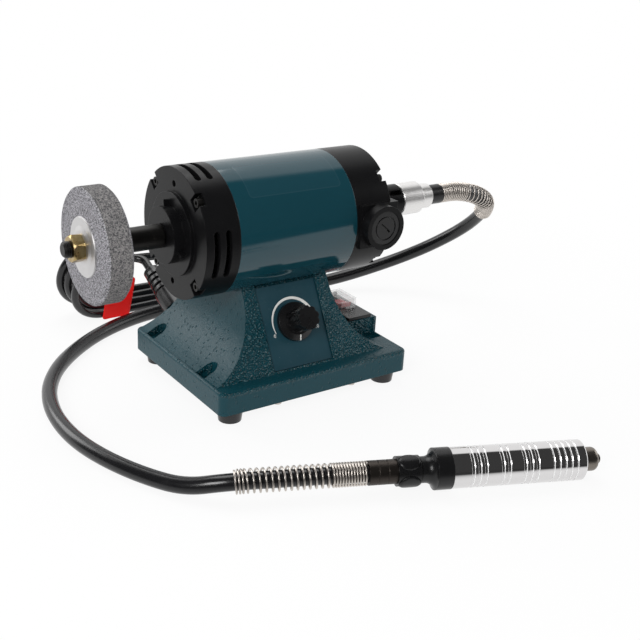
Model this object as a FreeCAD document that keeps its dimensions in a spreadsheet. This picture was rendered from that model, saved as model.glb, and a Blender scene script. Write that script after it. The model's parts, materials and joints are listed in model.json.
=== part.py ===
"""A small bench grinder: one wheel on a universal motor, and a flexible shaft with a handpiece.

Millimetres, +Z up, X along the motor shaft with the wheel towards -X, the control panel facing -Y.
The origin is the middle of the four bench-bolt holes, on the underside of the base casting.
"""
import FreeCAD, Part
import math
import os

import Sketcher

Vector = FreeCAD.Vector
Rotation = FreeCAD.Rotation

doc = FreeCAD.newDocument("bench_grinder")
sheet = doc.addObject("Spreadsheet::Sheet", "Sizes")


class Size:
    """A number together with the sheet expression that gives it."""

    def __init__(self, text, value):
        self.text = text
        self.value = float(value)

    def __add__(self, other):
        return joined(self, "+", other, self.value + number(other))

    def __radd__(self, other):
        return joined(other, "+", self, number(other) + self.value)

    def __sub__(self, other):
        return joined(self, "-", other, self.value - number(other))

    def __rsub__(self, other):
        return joined(other, "-", self, number(other) - self.value)

    def __mul__(self, other):
        return joined(self, "*", other, self.value * number(other))

    def __rmul__(self, other):
        return joined(other, "*", self, number(other) * self.value)

    def __truediv__(self, other):
        return joined(self, "/", other, self.value / number(other))

    def __neg__(self):
        return joined(0, "-", self, -self.value)


def number(size):
    """The plain number of a size, or of a number."""
    return size.value if isinstance(size, Size) else float(size)


def text(size):
    """The expression of a size, or of a number."""
    return size.text if isinstance(size, Size) else repr(float(size))


def joined(left, sign, right, value):
    return Size("(%s %s %s)" % (text(left), sign, text(right)), value)


def applied(function, degrees, value):
    return Size("%s(%s * 1 deg)" % (function, text(degrees)), value)


def sine(degrees):
    return applied("sin", degrees, math.sin(math.radians(number(degrees))))


def cosine(degrees):
    return applied("cos", degrees, math.cos(math.radians(number(degrees))))


def tangent(degrees):
    return applied("tan", degrees, math.tan(math.radians(number(degrees))))


class Named:
    """The sizes of the sheet, each as an attribute."""

    def __init__(self, values):
        for row, (name, value) in enumerate(values.items(), start=1):
            sheet.set("A%d" % row, name)
            sheet.set("B%d" % row, str(value))
            sheet.setAlias("B%d" % row, name)
            setattr(self, name, Size("Sizes." + name, value))


SIZES = {
    # base casting
    "base_length": 153,
    "base_depth": 127,
    "base_front": -70.5,
    "plate_height": 16,
    "plate_corner": 5,
    "plate_edge": 2,
    "axle_y": -7,
    "axle_z": 106.5,
    "pedestal_x": -5.3,
    "neck_half": 34.5,
    "flank_top": 66,
    "flank_run": 33.8,
    "front_ledge": 10.5,
    "front_lean": 29,
    "back_ledge": 2.9,
    "back_lean": 22,
    "back_shelf_top": 70.5,
    "base_wall": 5,
    "floor_wall": 5,
    "bolt_spacing_x": 134.4,
    "bolt_spacing_y": 74,
    "bolt_hole_r": 2.75,
    "bolt_pocket_r": 5.5,
    "bolt_pocket_floor": 13,
    "bolt_pocket_rim": 2.2,
    # bottom cover, feet
    "cover_thick": 1.2,
    "cover_screw_r": 1.5,
    "cover_screw_length": 7,
    "foot_height": 9,
    "foot_top_r": 9,
    "foot_bottom_r": 7.8,
    "foot_inset_x": 13,
    "foot_inset_y": 11.5,
    "foot_screw_r": 2,
    "foot_screw_depth": 5.5,
    # control panel and knob
    "panel_width": 48.4,
    "panel_height": 57.5,
    "panel_low": 1.5,
    "panel_thick": 1.2,
    "panel_recess": 2,
    "knob_up": 32,
    "knob_skirt_r": 13.4,
    "knob_skirt_thick": 3,
    "knob_cap_r": 8.3,
    "knob_length": 20,
    "knob_gap": 0.6,
    "knob_flute_r": 1.8,
    "spindle_r": 3,
    "bush_r": 3.5,
    "pot_r": 8,
    "pot_depth": 10,
    "panel_nut_r": 6,
    "panel_nut_thick": 2,
    # motor shell
    "motor_r": 44,
    "tube_wall": 2.5,
    "tube_left": -52.8,
    "tube_right": 38.5,
    "front_face": -77.6,
    "rear_face": 68,
    "cap_wall": 4,
    "ring_r": 28,
    "ring_step": 2.5,
    "nose_r": 19,
    "nose_step": 7,
    "vent_width": 4.2,
    "vent_length": 32,
    "vent_pitch": 8.5,
    "vent_inset": 6.6,
    "cap_screw_circle": 39.5,
    "cap_screw_r": 1.8,
    "cap_screw_head_r": 3,
    "cap_screw_head": 3.9,
    "cap_screw_length": 30,
    "cap_notch": 4.6,
    "cap_hole_r": 2.2,
    "cap_hole_circle": 33.5,
    "tube_lug": 12,
    "nose_rib": 4,
    "nose_rib_wide": 2.4,
    "brush_x": 56.7,
    "brush_block_half": 15.4,
    "brush_boss_r": 15.5,
    "brush_boss_face": 52.5,
    # rotor
    "shaft_r": 6,
    "shaft_tail_r": 5,
    "shaft_left": -154,
    "shaft_right": 98,
    "thread_r": 4.9,
    "sleeve_r": 8,
    "nose_gap": 0.9,
    "bearing_r": 14,
    "bearing_width": 8,
    "bearing_lip": 3,
    "running_fit": 0.05,
    "core_left": -28,
    "core_right": 20,
    "core_r": 24.5,
    "air_gap": 0.8,
    "coil_ring_r": 29.6,
    "coil_r": 5,
    "winding_reach": 11,
    "winding_r": 21,
    "commutator_r": 12,
    "commutator_half": 9.5,
    "brush_wide": 6,
    "brush_high": 8,
    "brush_length": 16,
    "brush_gap": 0.15,
    "holder_r": 7.3,
    "brush_cap_r": 11.8,
    "brush_cap_thick": 4.5,
    "fan_x": -52,
    "fan_r": 30,
    "fan_thick": 8,
    "fan_disc": 2,
    "driver_r": 6.5,
    "driver_length": 14,
    # wheel
    "wheel_r": 37.5,
    "wheel_thick": 17,
    "wheel_left": -140.1,
    "wheel_corner": 1.5,
    "flange_r": 19.5,
    "flange_thick": 1.8,
    "nut_flats": 16,
    "nut_thick": 7.5,
    # flexible-shaft coupling
    "spigot_root_r": 17,
    "spigot_root": 14,
    "spigot_neck_r": 12,
    "spigot_r": 10,
    "spigot_right": 112,
    "spigot_bore_r": 7.2,
    "spigot_slot": 4,
    "coupling_left": 106,
    "coupling_shoulder": 126,
    "coupling_right": 136.3,
    "coupling_r": 12,
    "coupling_neck_r": 9.2,
    "ferrule_r": 7.4,
    "ferrule_right": 147.8,
    # flexible shaft
    "sheath_r": 5.2,
    "sheath_wall": 1.9,
    "core_wire_r": 2.6,
    "spring_wire_r": 0.6,
    "spring_coil_r": 6.8,
    "spring_tight_pitch": 1.65,
    "spring_bent_pitch": 1.95,
    "guard_open_pitch": 4.4,
    # handpiece, measured along its axis from a point near the start of its spring
    "hand_x": -108.5,
    "hand_y": -147.9,
    "hand_turn": -22.8,
    "hand_collar_r": 12.7,
    "hand_spring": -3.2,
    "hand_tight": 53.7,
    "hand_ferrule": 75.4,
    "hand_neck": 92.5,
    "hand_waist": 106.5,
    "hand_flare": 109.9,
    "hand_collar": 115.5,
    "hand_sleeve": 125.4,
    "hand_sleeve_end": 210.2,
    "hand_nose_end": 220.5,
    "hand_ferrule_r": 7.4,
    "ferrule_line_wide": 0.8,
    "ferrule_line_deep": 0.3,
    "hand_neck_r": 9,
    "hand_waist_r": 8,
    "hand_sleeve_r": 12.5,
    "hand_bore_r": 9.5,
    "hand_groove": 0.4,
    "hand_groove_near": 0.35,
    "hand_groove_far": 0.6,
    "hand_groove_wide": 2.3,
    "hand_groove_pitch": 4,
    "hand_fine_wide": 1.2,
    "hand_fine_pitch": 3.85,
    "hand_tenon": 6,
    "hand_front_wall": 5,
    "hand_chamfer": 1,
    "hand_spindle_start": 112,
    "hand_spindle_r": 4,
    "hand_bearing": 6,
    "nose_ring_r": 7.4,
    "nose_round": 3.3,
    "collet_bore_r": 1.6,
    "collet_depth": 18,
    "collet_tip": 2.3,
    # switch
    "switch_box_left": 40,
    "switch_box_front": -32,
    "switch_box_back": 20.5,
    "switch_box_top": 27.5,
    "bezel_left": 52,
    "bezel_right": 72,
    "bezel_front": -31,
    "bezel_back": 17,
    "bezel_thick": 2.5,
    "rocker_x": 64.5,
    "rocker_y": -4,
    "rocker_wide": 8.5,
    "rocker_long": 13,
    "rocker_rise": 1.6,
    "rocker_tilt": 9,
    "hood_wide": 13.5,
    "hood_front": -13.2,
    "hood_back": 8,
    "hood_high": 6.5,
    "hood_wall": 1,
    "hood_pin_r": 0.9,
    "hood_barrel_r": 1.7,
    "hood_tab": 3,
    "rocker_pin_r": 1,
    # mains lead
    "hank_fold_r": 28,
    "hank_step": 7,
    "hank_layer": 7.2,
    "hank_half_run": 44,
    "lead_r": 3.2,
    "gland_x": -46,
    "gland_z": 26,
    "boot_length": 44,
    "boot_root_r": 9.4,
    "boot_rib_step": 0.35,
    "boot_tip_r": 6.6,
    "tie_wide": 8,
    "tie_wall": 1,
    "tag_wide": 23,
    "tag_high": 40,
    "tag_thick": 0.6,
    "plug_x": 75,
    "plug_y": 152,
    "plug_wide": 35.3,
    "plug_thick": 13.7,
    "plug_length": 38,
    "plug_pin_r": 2,
    "plug_pin_length": 19,
    "plug_pin_spacing": 18.6,
    "clearance": 0.3,
}
d = Named(SIZES)

AXLE = (0, d.axle_y, d.axle_z)
FLOOR = -d.foot_height
ALONG = {
    "x": Rotation(Vector(0, 1, 0), 90),
    "y": Rotation(Vector(1, 0, 0), -90),
    "-y": Rotation(Vector(1, 0, 0), 90),
    "z": Rotation(),
    "-z": Rotation(Vector(1, 0, 0), 180),
}
nodes = []


def bind(thing, **sizes):
    """Give properties their value and the expression that keeps it."""
    for name, size in sizes.items():
        setattr(thing, name, number(size))
        if isinstance(size, Size):
            thing.setExpression(name, size.text)
    return thing


def place(thing, at=(0, 0, 0), turn=None):
    """Stand a thing at a point whose coordinates follow the sheet."""
    thing.Placement = FreeCAD.Placement(Vector(*[number(c) for c in at]), turn or Rotation())
    for axis, size in zip("xyz", at):
        if isinstance(size, Size):
            thing.setExpression("Placement.Base." + axis, size.text)
    return thing


def finish(label, thing):
    """Make a thing a sub-part of the object."""
    thing.Label = label
    nodes.append(thing)
    return thing


def new(kind, name):
    return doc.addObject(kind, name)


def block(sizes, at, turn=None):
    thing = new("Part::Box", "block")
    bind(thing, Length=sizes[0], Width=sizes[1], Height=sizes[2])
    return place(thing, at, turn)


def rod(radius, length, at, along="z"):
    thing = bind(new("Part::Cylinder", "rod"), Radius=radius, Height=length)
    return place(thing, at, ALONG[along] if isinstance(along, str) else along)


def cone(low_r, high_r, length, at, along="z"):
    thing = bind(new("Part::Cone", "cone"), Radius1=low_r, Radius2=high_r, Height=length)
    return place(thing, at, ALONG[along] if isinstance(along, str) else along)


def cut(base, *tools):
    thing = new("Part::Cut", "cut")
    thing.Base = base
    thing.Tool = tools[0] if len(tools) == 1 else fuse(*tools)
    return thing


def fuse(*parts):
    thing = new("Part::MultiFuse", "fuse")
    thing.Shapes = list(parts)
    return thing


def common(base, tool):
    thing = new("Part::Common", "common")
    thing.Base = base
    thing.Tool = tool
    return thing


def group(*parts):
    thing = new("Part::Compound", "group")
    thing.Links = list(parts)
    return thing


def outline(sketch, corners):
    """Close straight lines through the corners, and arcs where a corner gives (u, v, radius, bulge).

    A radius on a corner makes the line that leaves it an arc, on the left of its chord for bulge 1.
    Each corner's two coordinates are held to the sheet.
    """
    points = [Vector(number(c[0]), number(c[1]), 0) for c in corners]
    for i, corner in enumerate(corners):
        start = points[i]
        end = points[(i + 1) % len(points)]
        if len(corner) == 2:
            sketch.addGeometry(Part.LineSegment(start, end))
            continue
        radius, bulge = corner[2:]
        chord = end - start
        half = chord.Length / 2
        normal = Vector(-chord.y, chord.x, 0).normalize() * bulge
        depth = math.sqrt(max(number(radius) ** 2 - half ** 2, 0))
        middle = start + chord * 0.5 + normal * (number(radius) - depth)
        sketch.addGeometry(Part.Arc(start, middle, end))
    count = len(corners)

    def first_end(i):
        arc = sketch.Geometry[i]
        if isinstance(arc, Part.LineSegment):
            return 1
        return 1 if arc.StartPoint.distanceToPoint(points[i]) < 1e-6 else 2

    for i in range(count):
        following = (i + 1) % count
        sketch.addConstraint(Sketcher.Constraint(
            "Coincident", i, 3 - first_end(i), following, first_end(following)))
    for i, corner in enumerate(corners):
        for kind, size in (("DistanceX", corner[0]), ("DistanceY", corner[1])):
            held = sketch.addConstraint(Sketcher.Constraint(kind, -1, 1, i, first_end(i), number(size)))
            if isinstance(size, Size):
                sketch.setExpression("Constraints[%d]" % held, size.text)
        if len(corner) > 2:
            held = sketch.addConstraint(Sketcher.Constraint("Radius", i, number(corner[2])))
            if isinstance(corner[2], Size):
                sketch.setExpression("Constraints[%d]" % held, corner[2].text)


def sketch_on(body, plane, corners):
    sketch = body.newObject("Sketcher::SketchObject", "outline")
    support = [f for f in body.Origin.OriginFeatures if f.Role == plane][0]
    sketch.AttachmentSupport = [(support, "")]
    sketch.MapMode = "FlatFace"
    outline(sketch, corners)
    return sketch


def turned(corners, at=AXLE, turn=None):
    """A ring or shaft: corners of (x, radius) carried round the X axis."""
    body = new("PartDesign::Body", "turned")
    sketch = sketch_on(body, "XZ_Plane", corners)
    spin = body.newObject("PartDesign::Revolution", "spin")
    spin.Profile = sketch
    spin.ReferenceAxis = (sketch, ["H_Axis"])
    spin.Angle = 360
    return place(body, at, turn)


def padded(plane, corners, length, at=(0, 0, 0), turn=None, both=False):
    """A slab: an outline on a plane, raised by a length along the plane's normal or to both sides."""
    body = new("PartDesign::Body", "slab")
    sketch = sketch_on(body, plane, corners)
    pad = body.newObject("PartDesign::Pad", "pad")
    pad.Profile = sketch
    pad.Midplane = both
    bind(pad, Length=length)
    return place(body, at, turn)


def around(count, first=0):
    """Evenly spaced angles in degrees."""
    return [first + 360 * i / count for i in range(count)]


def ring_point(radius, degrees, x):
    """A point at a radius and an angle about the axle, 0 degrees towards +Y and 90 up."""
    angle = math.radians(degrees)
    return (x, d.axle_y + radius * math.cos(angle), d.axle_z + radius * math.sin(angle))


def ring(x0, x1, inner, outer, at=AXLE, turn=None):
    return turned([(x0, inner), (x1, inner), (x1, outer), (x0, outer)], at, turn)


base_back = d.base_front + d.base_depth
half_length = d.base_length / 2
cover_half = d.bolt_spacing_x / 2 - 2 * d.bolt_pocket_r + d.base_wall
front_foot = d.base_front + d.front_ledge
back_foot = base_back - d.back_ledge
flank_drop = d.flank_top - d.plate_height
flank_r = (flank_drop * flank_drop + d.flank_run * d.flank_run) / (2 * d.flank_run)


def lean_front(z):
    """Y of the pedestal's front face at a height."""
    return front_foot + (z - d.plate_height) * tangent(d.front_lean)


def lean_back(z):
    """Y of the pedestal's back face at a height."""
    return back_foot - (z - d.plate_height) * tangent(d.back_lean)


def bolt_points():
    return [(sx * d.bolt_spacing_x / 2, sy * d.bolt_spacing_y / 2, sx) for sx in (-1, 1) for sy in (-1, 1)]


def corner_points(reach, inset):
    """Four points at a reach to each side, and an inset from the base's front and back."""
    rows = (d.base_front + inset, base_back - inset)
    return [(side * reach, y) for side in (-1, 1) for y in rows]


def cover_screw_points():
    return corner_points(cover_half / 2, d.base_wall)


def foot_points():
    return corner_points(half_length - d.foot_inset_x, d.foot_inset_y)


def panel_frame(up, out):
    """A point on the sloping front: up along the slope from its foot, and out along its normal."""
    y = front_foot + up * sine(d.front_lean) - out * cosine(d.front_lean)
    z = d.plate_height + up * cosine(d.front_lean) + out * sine(d.front_lean)
    return y, z


def gland_point(out):
    """A point on the mains lead's way out of the back face, at a distance along the face's normal."""
    return (d.gland_x, lean_back(d.gland_z) + out * cosine(d.back_lean), d.gland_z + out * sine(d.back_lean))


# Local Z along the panel's outward normal, local Y up the slope.
PANEL_TURN = Rotation(Vector(1, 0, 0), 90 - number(d.front_lean))
# Local Z along the back face's outward normal.
BACK_TURN = Rotation(Vector(1, 0, 0), number(d.back_lean) - 90)


def base_casting():
    plate = new("PartDesign::Body", "plate")
    sketch = sketch_on(plate, "XY_Plane", [
        (-half_length, d.base_front), (half_length, d.base_front),
        (half_length, base_back), (-half_length, base_back)])
    pad = plate.newObject("PartDesign::Pad", "pad")
    pad.Profile = sketch
    bind(pad, Length=d.plate_height)
    doc.recompute()
    upright = ["Edge%d" % (i + 1) for i, e in enumerate(pad.Shape.Edges)
               if abs(e.tangentAt(e.FirstParameter).z) > 0.9]
    corners = plate.newObject("PartDesign::Fillet", "corners")
    corners.Base = (pad, upright)
    bind(corners, Radius=d.plate_corner)
    doc.recompute()
    rim = ["Edge%d" % (i + 1) for i, e in enumerate(corners.Shape.Edges)
           if e.BoundBox.ZMin > number(d.plate_height) - 0.01]
    edge = plate.newObject("PartDesign::Fillet", "edge")
    edge.Base = (corners, rim)
    bind(edge, Radius=d.plate_edge)
    plate.Tip = edge

    left = d.pedestal_x - d.neck_half
    right = d.pedestal_x + d.neck_half
    foot = d.plate_height - 1
    pedestal = padded("XZ_Plane", [
        (left - d.flank_run, d.plate_height, flank_r, -1), (left, d.flank_top), (left, d.back_shelf_top),
        (right, d.back_shelf_top), (right, d.flank_top, flank_r, -1), (right + d.flank_run, d.plate_height),
        (right + d.flank_run, foot), (left - d.flank_run, foot)], d.base_depth * 2, both=True)
    lean = padded("YZ_Plane", [
        (lean_front(foot), foot), (lean_back(foot), foot),
        (lean_back(d.back_shelf_top), d.back_shelf_top), (lean_front(d.back_shelf_top), d.back_shelf_top)],
        d.base_length * 2, both=True)
    box_low = d.plate_height - d.plate_edge - 1
    box = block((half_length - d.switch_box_left, d.switch_box_back - d.switch_box_front,
                 d.switch_box_top - box_low), (d.switch_box_left, d.switch_box_front, box_low))
    solid = fuse(plate, common(pedestal, lean), box)

    saddle = rod(d.motor_r, d.base_length * 2, (-d.base_length, d.axle_y, d.axle_z), "x")
    cavity = block((d.bolt_spacing_x - 4 * d.bolt_pocket_r + d.base_wall, d.base_depth - 4 * d.base_wall,
                    d.plate_height - d.floor_wall + 1),
                   (-d.bolt_spacing_x / 2 + 2 * d.bolt_pocket_r - d.base_wall / 2,
                    d.base_front + 2 * d.base_wall, -1))
    tower_top = d.axle_z - d.motor_r - d.base_wall
    tower_front = lean_front(tower_top) + d.base_wall
    tower_back = lean_back(tower_top) - d.base_wall
    tower = block((2 * (d.neck_half - d.base_wall), tower_back - tower_front, tower_top),
                  (left + d.base_wall, tower_front, 0))
    tools = [saddle, cavity, tower]
    for x, y, side in bolt_points():
        tools.append(rod(d.bolt_hole_r, d.plate_height * 2, (x, y, -1)))
        tools.append(rod(d.bolt_pocket_r, d.flank_top, (x, y, d.bolt_pocket_floor)))
        reach = half_length - d.bolt_spacing_x / 2 - d.bolt_pocket_rim
        tools.append(block((reach, 2 * d.bolt_pocket_r, d.flank_top),
                           (x if side > 0 else x - reach, y - d.bolt_pocket_r, d.bolt_pocket_floor)))
    for x, y in foot_points():
        tools.append(rod(d.foot_screw_r, d.foot_screw_depth + 1.5, (x, y, -1)))
    for x, y in cover_screw_points():
        tools.append(rod(d.cover_screw_r, d.cover_screw_length, (x, y, -1)))
    # window for the panel's recess and for the speed control behind it
    y, z = panel_frame(d.panel_low, -d.panel_recess)
    tools.append(block((d.panel_width, d.panel_height * 1.2, d.panel_recess * 4),
                       (d.pedestal_x - d.panel_width / 2, y, z), PANEL_TURN))
    y, z = panel_frame(d.knob_up, -d.panel_recess - 30)
    tools.append(rod(d.pot_r + 1, 30, (d.pedestal_x, y, z), PANEL_TURN))
    # switch well in the box
    tools.append(block((d.rocker_wide + 6, d.rocker_long + 8, d.switch_box_top),
                       (d.rocker_x - d.rocker_wide / 2 - 3, d.rocker_y - d.rocker_long / 2 - 4, 2)))
    # hole for the mains lead, from the back face down into the hollow of the plate
    depth = 2 * d.base_wall + d.gland_z
    tools.append(rod(d.lead_r + d.clearance, 2 * depth, gland_point(-depth), BACK_TURN))
    return finish("base_casting", cut(solid, *tools))


front_face = d.front_face
ring_face = front_face - d.ring_step
nose_face = ring_face - d.nose_step
spigot_left = d.brush_x + d.brush_block_half
front_bearing = nose_face + d.bearing_lip
rear_bearing = spigot_left + d.bearing_lip
tube_bore = d.motor_r - d.tube_wall
wheel_right = d.wheel_left + d.wheel_thick
sleeve_left = wheel_right + d.flange_thick
HAND_AXIS = FLOOR + d.hand_collar_r
HAND = (d.hand_x, d.hand_y, HAND_AXIS)
HAND_TURN = Rotation(Vector(0, 0, 1), number(d.hand_turn))


def underside():
    """The cover plate under the base, its screws, and the four feet with theirs."""
    inset = d.base_wall / 2
    cover = block((2 * cover_half, d.base_depth - 2 * inset, d.cover_thick),
                  (-cover_half, d.base_front + inset, -d.cover_thick))
    holes = []
    screws = []
    for x, y in cover_screw_points():
        holes.append(rod(d.cover_screw_r, 4 * d.cover_thick, (x, y, -2 * d.cover_thick)))
        head = rod(2 * d.cover_screw_r, d.cover_thick, (x, y, -2 * d.cover_thick))
        shank = rod(d.cover_screw_r - 0.1, d.cover_screw_length, (x, y, -d.cover_thick - 0.2))
        screws.append(fuse(head, shank))
    for x, y in foot_points():
        holes.append(rod(d.foot_top_r + 1, 4 * d.cover_thick, (x, y, -2 * d.cover_thick)))
    finish("bottom_cover", cut(cover, *holes))
    finish("cover_screws", group(*screws))

    feet = []
    foot_screws = []
    for x, y in foot_points():
        foot = cone(d.foot_bottom_r, d.foot_top_r, d.foot_height, (x, y, FLOOR))
        head_top = FLOOR + d.foot_height / 2
        hole = rod(d.foot_screw_r, d.foot_height + 1, (x, y, FLOOR))
        well = rod(2 * d.foot_screw_r + d.clearance, d.foot_height / 2, (x, y, FLOOR))
        feet.append(cut(foot, hole, well))
        head = rod(2 * d.foot_screw_r, d.foot_screw_r, (x, y, head_top - d.foot_screw_r))
        shank = rod(d.foot_screw_r - 0.1, d.foot_height / 2 + d.foot_screw_depth, (x, y, head_top - 0.2))
        foot_screws.append(fuse(head, shank))
    finish("rubber_feet", group(*feet))
    finish("foot_screws", group(*foot_screws))


def on_panel(radius, low, high):
    """A round stub on the panel's knob axis, between two heights above the sloping front."""
    y, z = panel_frame(d.knob_up, low)
    return rod(radius, high - low, (d.pedestal_x, y, z), PANEL_TURN)


def controls():
    """The front panel with its speed control and knob."""
    panel_top = d.panel_thick - d.panel_recess
    y, z = panel_frame(d.panel_low + d.clearance, -d.panel_recess)
    panel = block((d.panel_width - 2 * d.clearance, d.panel_height, d.panel_thick),
                  (d.pedestal_x - d.panel_width / 2 + d.clearance, y, z), PANEL_TURN)
    finish("control_panel", cut(panel, on_panel(d.bush_r + 0.1, -d.panel_recess * 2, 1)))

    can = on_panel(d.pot_r, -d.panel_recess - d.pot_depth, -d.panel_recess)
    bush = on_panel(d.bush_r, -d.panel_recess - 0.5, panel_top + 1.5 * d.panel_nut_thick)
    bore = on_panel(d.spindle_r + d.running_fit, -d.panel_recess - d.pot_depth + 2, d.knob_length)
    finish("speed_control", cut(fuse(can, bush), bore))
    nut = on_panel(d.panel_nut_r, panel_top, panel_top + d.panel_nut_thick)
    finish("panel_nut", cut(nut, on_panel(d.bush_r + 0.05, -1 - d.panel_recess, d.knob_length)))
    knob_low = panel_top + d.knob_gap
    skirt_top = knob_low + d.knob_skirt_thick
    spindle_top = knob_low + d.knob_length * 0.75
    finish("speed_spindle", on_panel(d.spindle_r, -d.panel_recess - d.pot_depth + 2.3, spindle_top))

    skirt = on_panel(d.knob_skirt_r, knob_low, skirt_top)
    y, z = panel_frame(d.knob_up, skirt_top)
    slope = cone(d.knob_skirt_r, d.knob_cap_r + 1.2, d.knob_skirt_thick * 0.6,
                 (d.pedestal_x, y, z), PANEL_TURN)
    cap = on_panel(d.knob_cap_r, knob_low + 1, knob_low + d.knob_length)
    flutes = []
    for degrees in around(9, 30):
        angle = math.radians(degrees)
        reach = d.knob_cap_r + d.knob_flute_r * 0.45
        y, z = panel_frame(d.knob_up + reach * math.sin(angle), skirt_top + 2.2)
        flutes.append(rod(d.knob_flute_r, d.knob_length, (d.pedestal_x + reach * math.cos(angle), y, z),
                          PANEL_TURN))
    well = on_panel(d.panel_nut_r + 1, -1 - d.panel_recess, knob_low + d.panel_nut_thick + 0.6)
    bore = on_panel(d.spindle_r + 0.02, -1 - d.panel_recess, spindle_top + 0.3)
    finish("speed_knob", cut(fuse(skirt, slope, cap), well, bore, *flutes))


def radial_block(sizes, radius, degrees, x):
    """A block with its middle at an angle: sizes along X, round the axle and outwards from a radius."""
    angle = math.radians(degrees)
    out = (math.cos(angle), math.sin(angle))
    side = (math.sin(angle), -math.cos(angle))
    at = (x, d.axle_y + radius * out[0] - sizes[1] / 2 * side[0],
          d.axle_z + radius * out[1] - sizes[1] / 2 * side[1])
    return block(sizes, at, Rotation(Vector(1, 0, 0), degrees - 90))


def vent(degrees, x):
    """A long round-ended slot through the shell, lying round the axle."""
    straight = d.vent_length - d.vent_width
    tool = radial_block((d.vent_width, straight, d.motor_r), d.motor_r / 2, degrees, x)
    ends = []
    angle = math.radians(degrees)
    for sign in (-1, 1):
        shift = sign * straight / 2
        at = (x + d.vent_width / 2,
              d.axle_y + d.motor_r / 2 * math.cos(angle) + shift * math.sin(angle),
              d.axle_z + d.motor_r / 2 * math.sin(angle) - shift * math.cos(angle))
        ends.append(rod(d.vent_width / 2, d.motor_r, at, Rotation(Vector(1, 0, 0), degrees - 90)))
    return [tool] + ends


def motor_shell():
    """The steel tube and the two end caps."""
    inner = d.motor_r - d.cap_wall
    hub = d.bearing_r + d.cap_wall
    bearing_end = front_bearing + d.bearing_width + 1
    lug_r = d.cap_screw_r + 2.4
    lugs = []
    holes = []
    for x in (d.tube_left, d.tube_right - d.tube_lug):
        for degrees in around(4, 45):
            lugs.append(rod(lug_r, d.tube_lug, ring_point(d.cap_screw_circle, degrees, x), "x"))
            holes.append(rod(d.cap_screw_r, d.tube_lug, ring_point(d.cap_screw_circle, degrees, x), "x"))
    tube = ring(d.tube_left, d.tube_right, tube_bore, d.motor_r)
    finish("motor_tube", cut(fuse(tube, *lugs), *holes))

    cup = turned([
        (nose_face, d.shaft_r + 1), (nose_face, d.nose_r), (ring_face, d.nose_r), (ring_face, d.ring_r),
        (front_face, d.ring_r), (front_face, d.motor_r), (d.tube_left, d.motor_r), (d.tube_left, inner),
        (front_face + d.cap_wall, inner), (front_face + d.cap_wall, hub), (bearing_end, hub),
        (bearing_end, d.bearing_r), (front_bearing, d.bearing_r), (front_bearing, d.shaft_r + 1)])
    lugs = []
    cuts = []
    for degrees in around(4, 45):
        point = ring_point(d.cap_screw_circle, degrees, front_face)
        lugs.append(rod(lug_r, d.tube_left - front_face, point, "x"))
        cuts.append(radial_block((d.cap_notch, 3 * d.cap_screw_head_r, d.motor_r),
                                 d.cap_screw_circle - d.cap_screw_head_r - 1, degrees, front_face))
        cuts.append(rod(d.cap_screw_r, d.tube_left - front_face + 1, point, "x"))
    for degrees in (5, 95, 185):
        for step in (0, 1):
            cuts.extend(vent(degrees, d.tube_left - d.vent_inset - d.vent_width - step * d.vent_pitch))
    for degrees in (90, 274):
        point = ring_point(d.cap_hole_circle, degrees, front_face - 1)
        cuts.append(rod(d.cap_hole_r, d.cap_wall * 2, point, "x"))
    rib = (d.nose_rib, d.nose_rib_wide, d.ring_r - d.nose_r - 4)
    ribs = [radial_block(rib, d.nose_r - 1, degrees, ring_face - d.nose_rib) for degrees in around(3, 82)]
    finish("front_end_cap", cut(fuse(cup, *lugs, *ribs), *cuts))

    end_hole = d.commutator_r + 1
    cup = turned([
        (d.tube_right, inner), (d.rear_face - d.cap_wall, inner), (d.rear_face - d.cap_wall, end_hole),
        (d.rear_face, end_hole), (d.rear_face, d.motor_r), (d.tube_right, d.motor_r)])
    half = d.brush_block_half
    bar = block((2 * half, 2 * (d.motor_r + 0.6), 2 * half),
                (d.brush_x - half, d.axle_y - d.motor_r - 0.6, d.axle_z - half))
    boss = rod(d.brush_boss_r, 2 * d.brush_boss_face,
               (d.brush_x, d.axle_y - d.brush_boss_face, d.axle_z), "y")
    room = rod(inner, d.rear_face - d.cap_wall - d.tube_right, (d.tube_right, d.axle_y, d.axle_z), "x")
    hole = rod(end_hole, 4 * d.cap_wall, (d.rear_face - 2 * d.cap_wall, d.axle_y, d.axle_z), "x")
    lugs = []
    cuts = []
    for degrees in around(4, 45):
        point = ring_point(d.cap_screw_circle, degrees, d.tube_right)
        lugs.append(rod(lug_r, d.rear_face - d.tube_right, point, "x"))
        cuts.append(radial_block((d.cap_notch, 3 * d.cap_screw_head_r, d.motor_r),
                                 d.cap_screw_circle - d.cap_screw_head_r - 1, degrees,
                                 d.rear_face - d.cap_notch))
        cuts.append(rod(d.cap_screw_r, d.rear_face - d.tube_right + 1, point, "x"))
    cap_seat = d.brush_boss_face - d.brush_cap_thick
    for along, sign in (("y", 1), ("-y", -1)):
        cuts.append(rod(d.holder_r, d.brush_boss_face, (d.brush_x, d.axle_y, d.axle_z), along))
        cuts.append(rod(d.brush_cap_r + 0.1, 2 * d.brush_cap_thick,
                        (d.brush_x, d.axle_y + sign * cap_seat, d.axle_z), along))
    shell = cut(fuse(cup, bar, boss), room, hole)
    finish("rear_end_cap", cut(fuse(shell, *lugs), *cuts))

    screws = []
    high = d.cap_screw_head
    for seat, along in ((front_face + d.cap_notch, 1), (d.rear_face - d.cap_notch, -1)):
        for degrees in around(4, 45):
            def piece(radius, near, far):
                """A round length of the screw, between two distances down from its seat."""
                low = seat + near if along > 0 else seat - far
                return rod(radius, far - near, ring_point(d.cap_screw_circle, degrees, low), "x")

            shank = piece(d.cap_screw_r - 0.1, -1, d.cap_screw_length)
            socket = piece(d.cap_screw_head_r / 2, -2 * high, -high / 3)
            screws.append(cut(fuse(shank, piece(d.cap_screw_head_r, -high, 0)), socket))
    finish("cap_screws", group(*screws))


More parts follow.
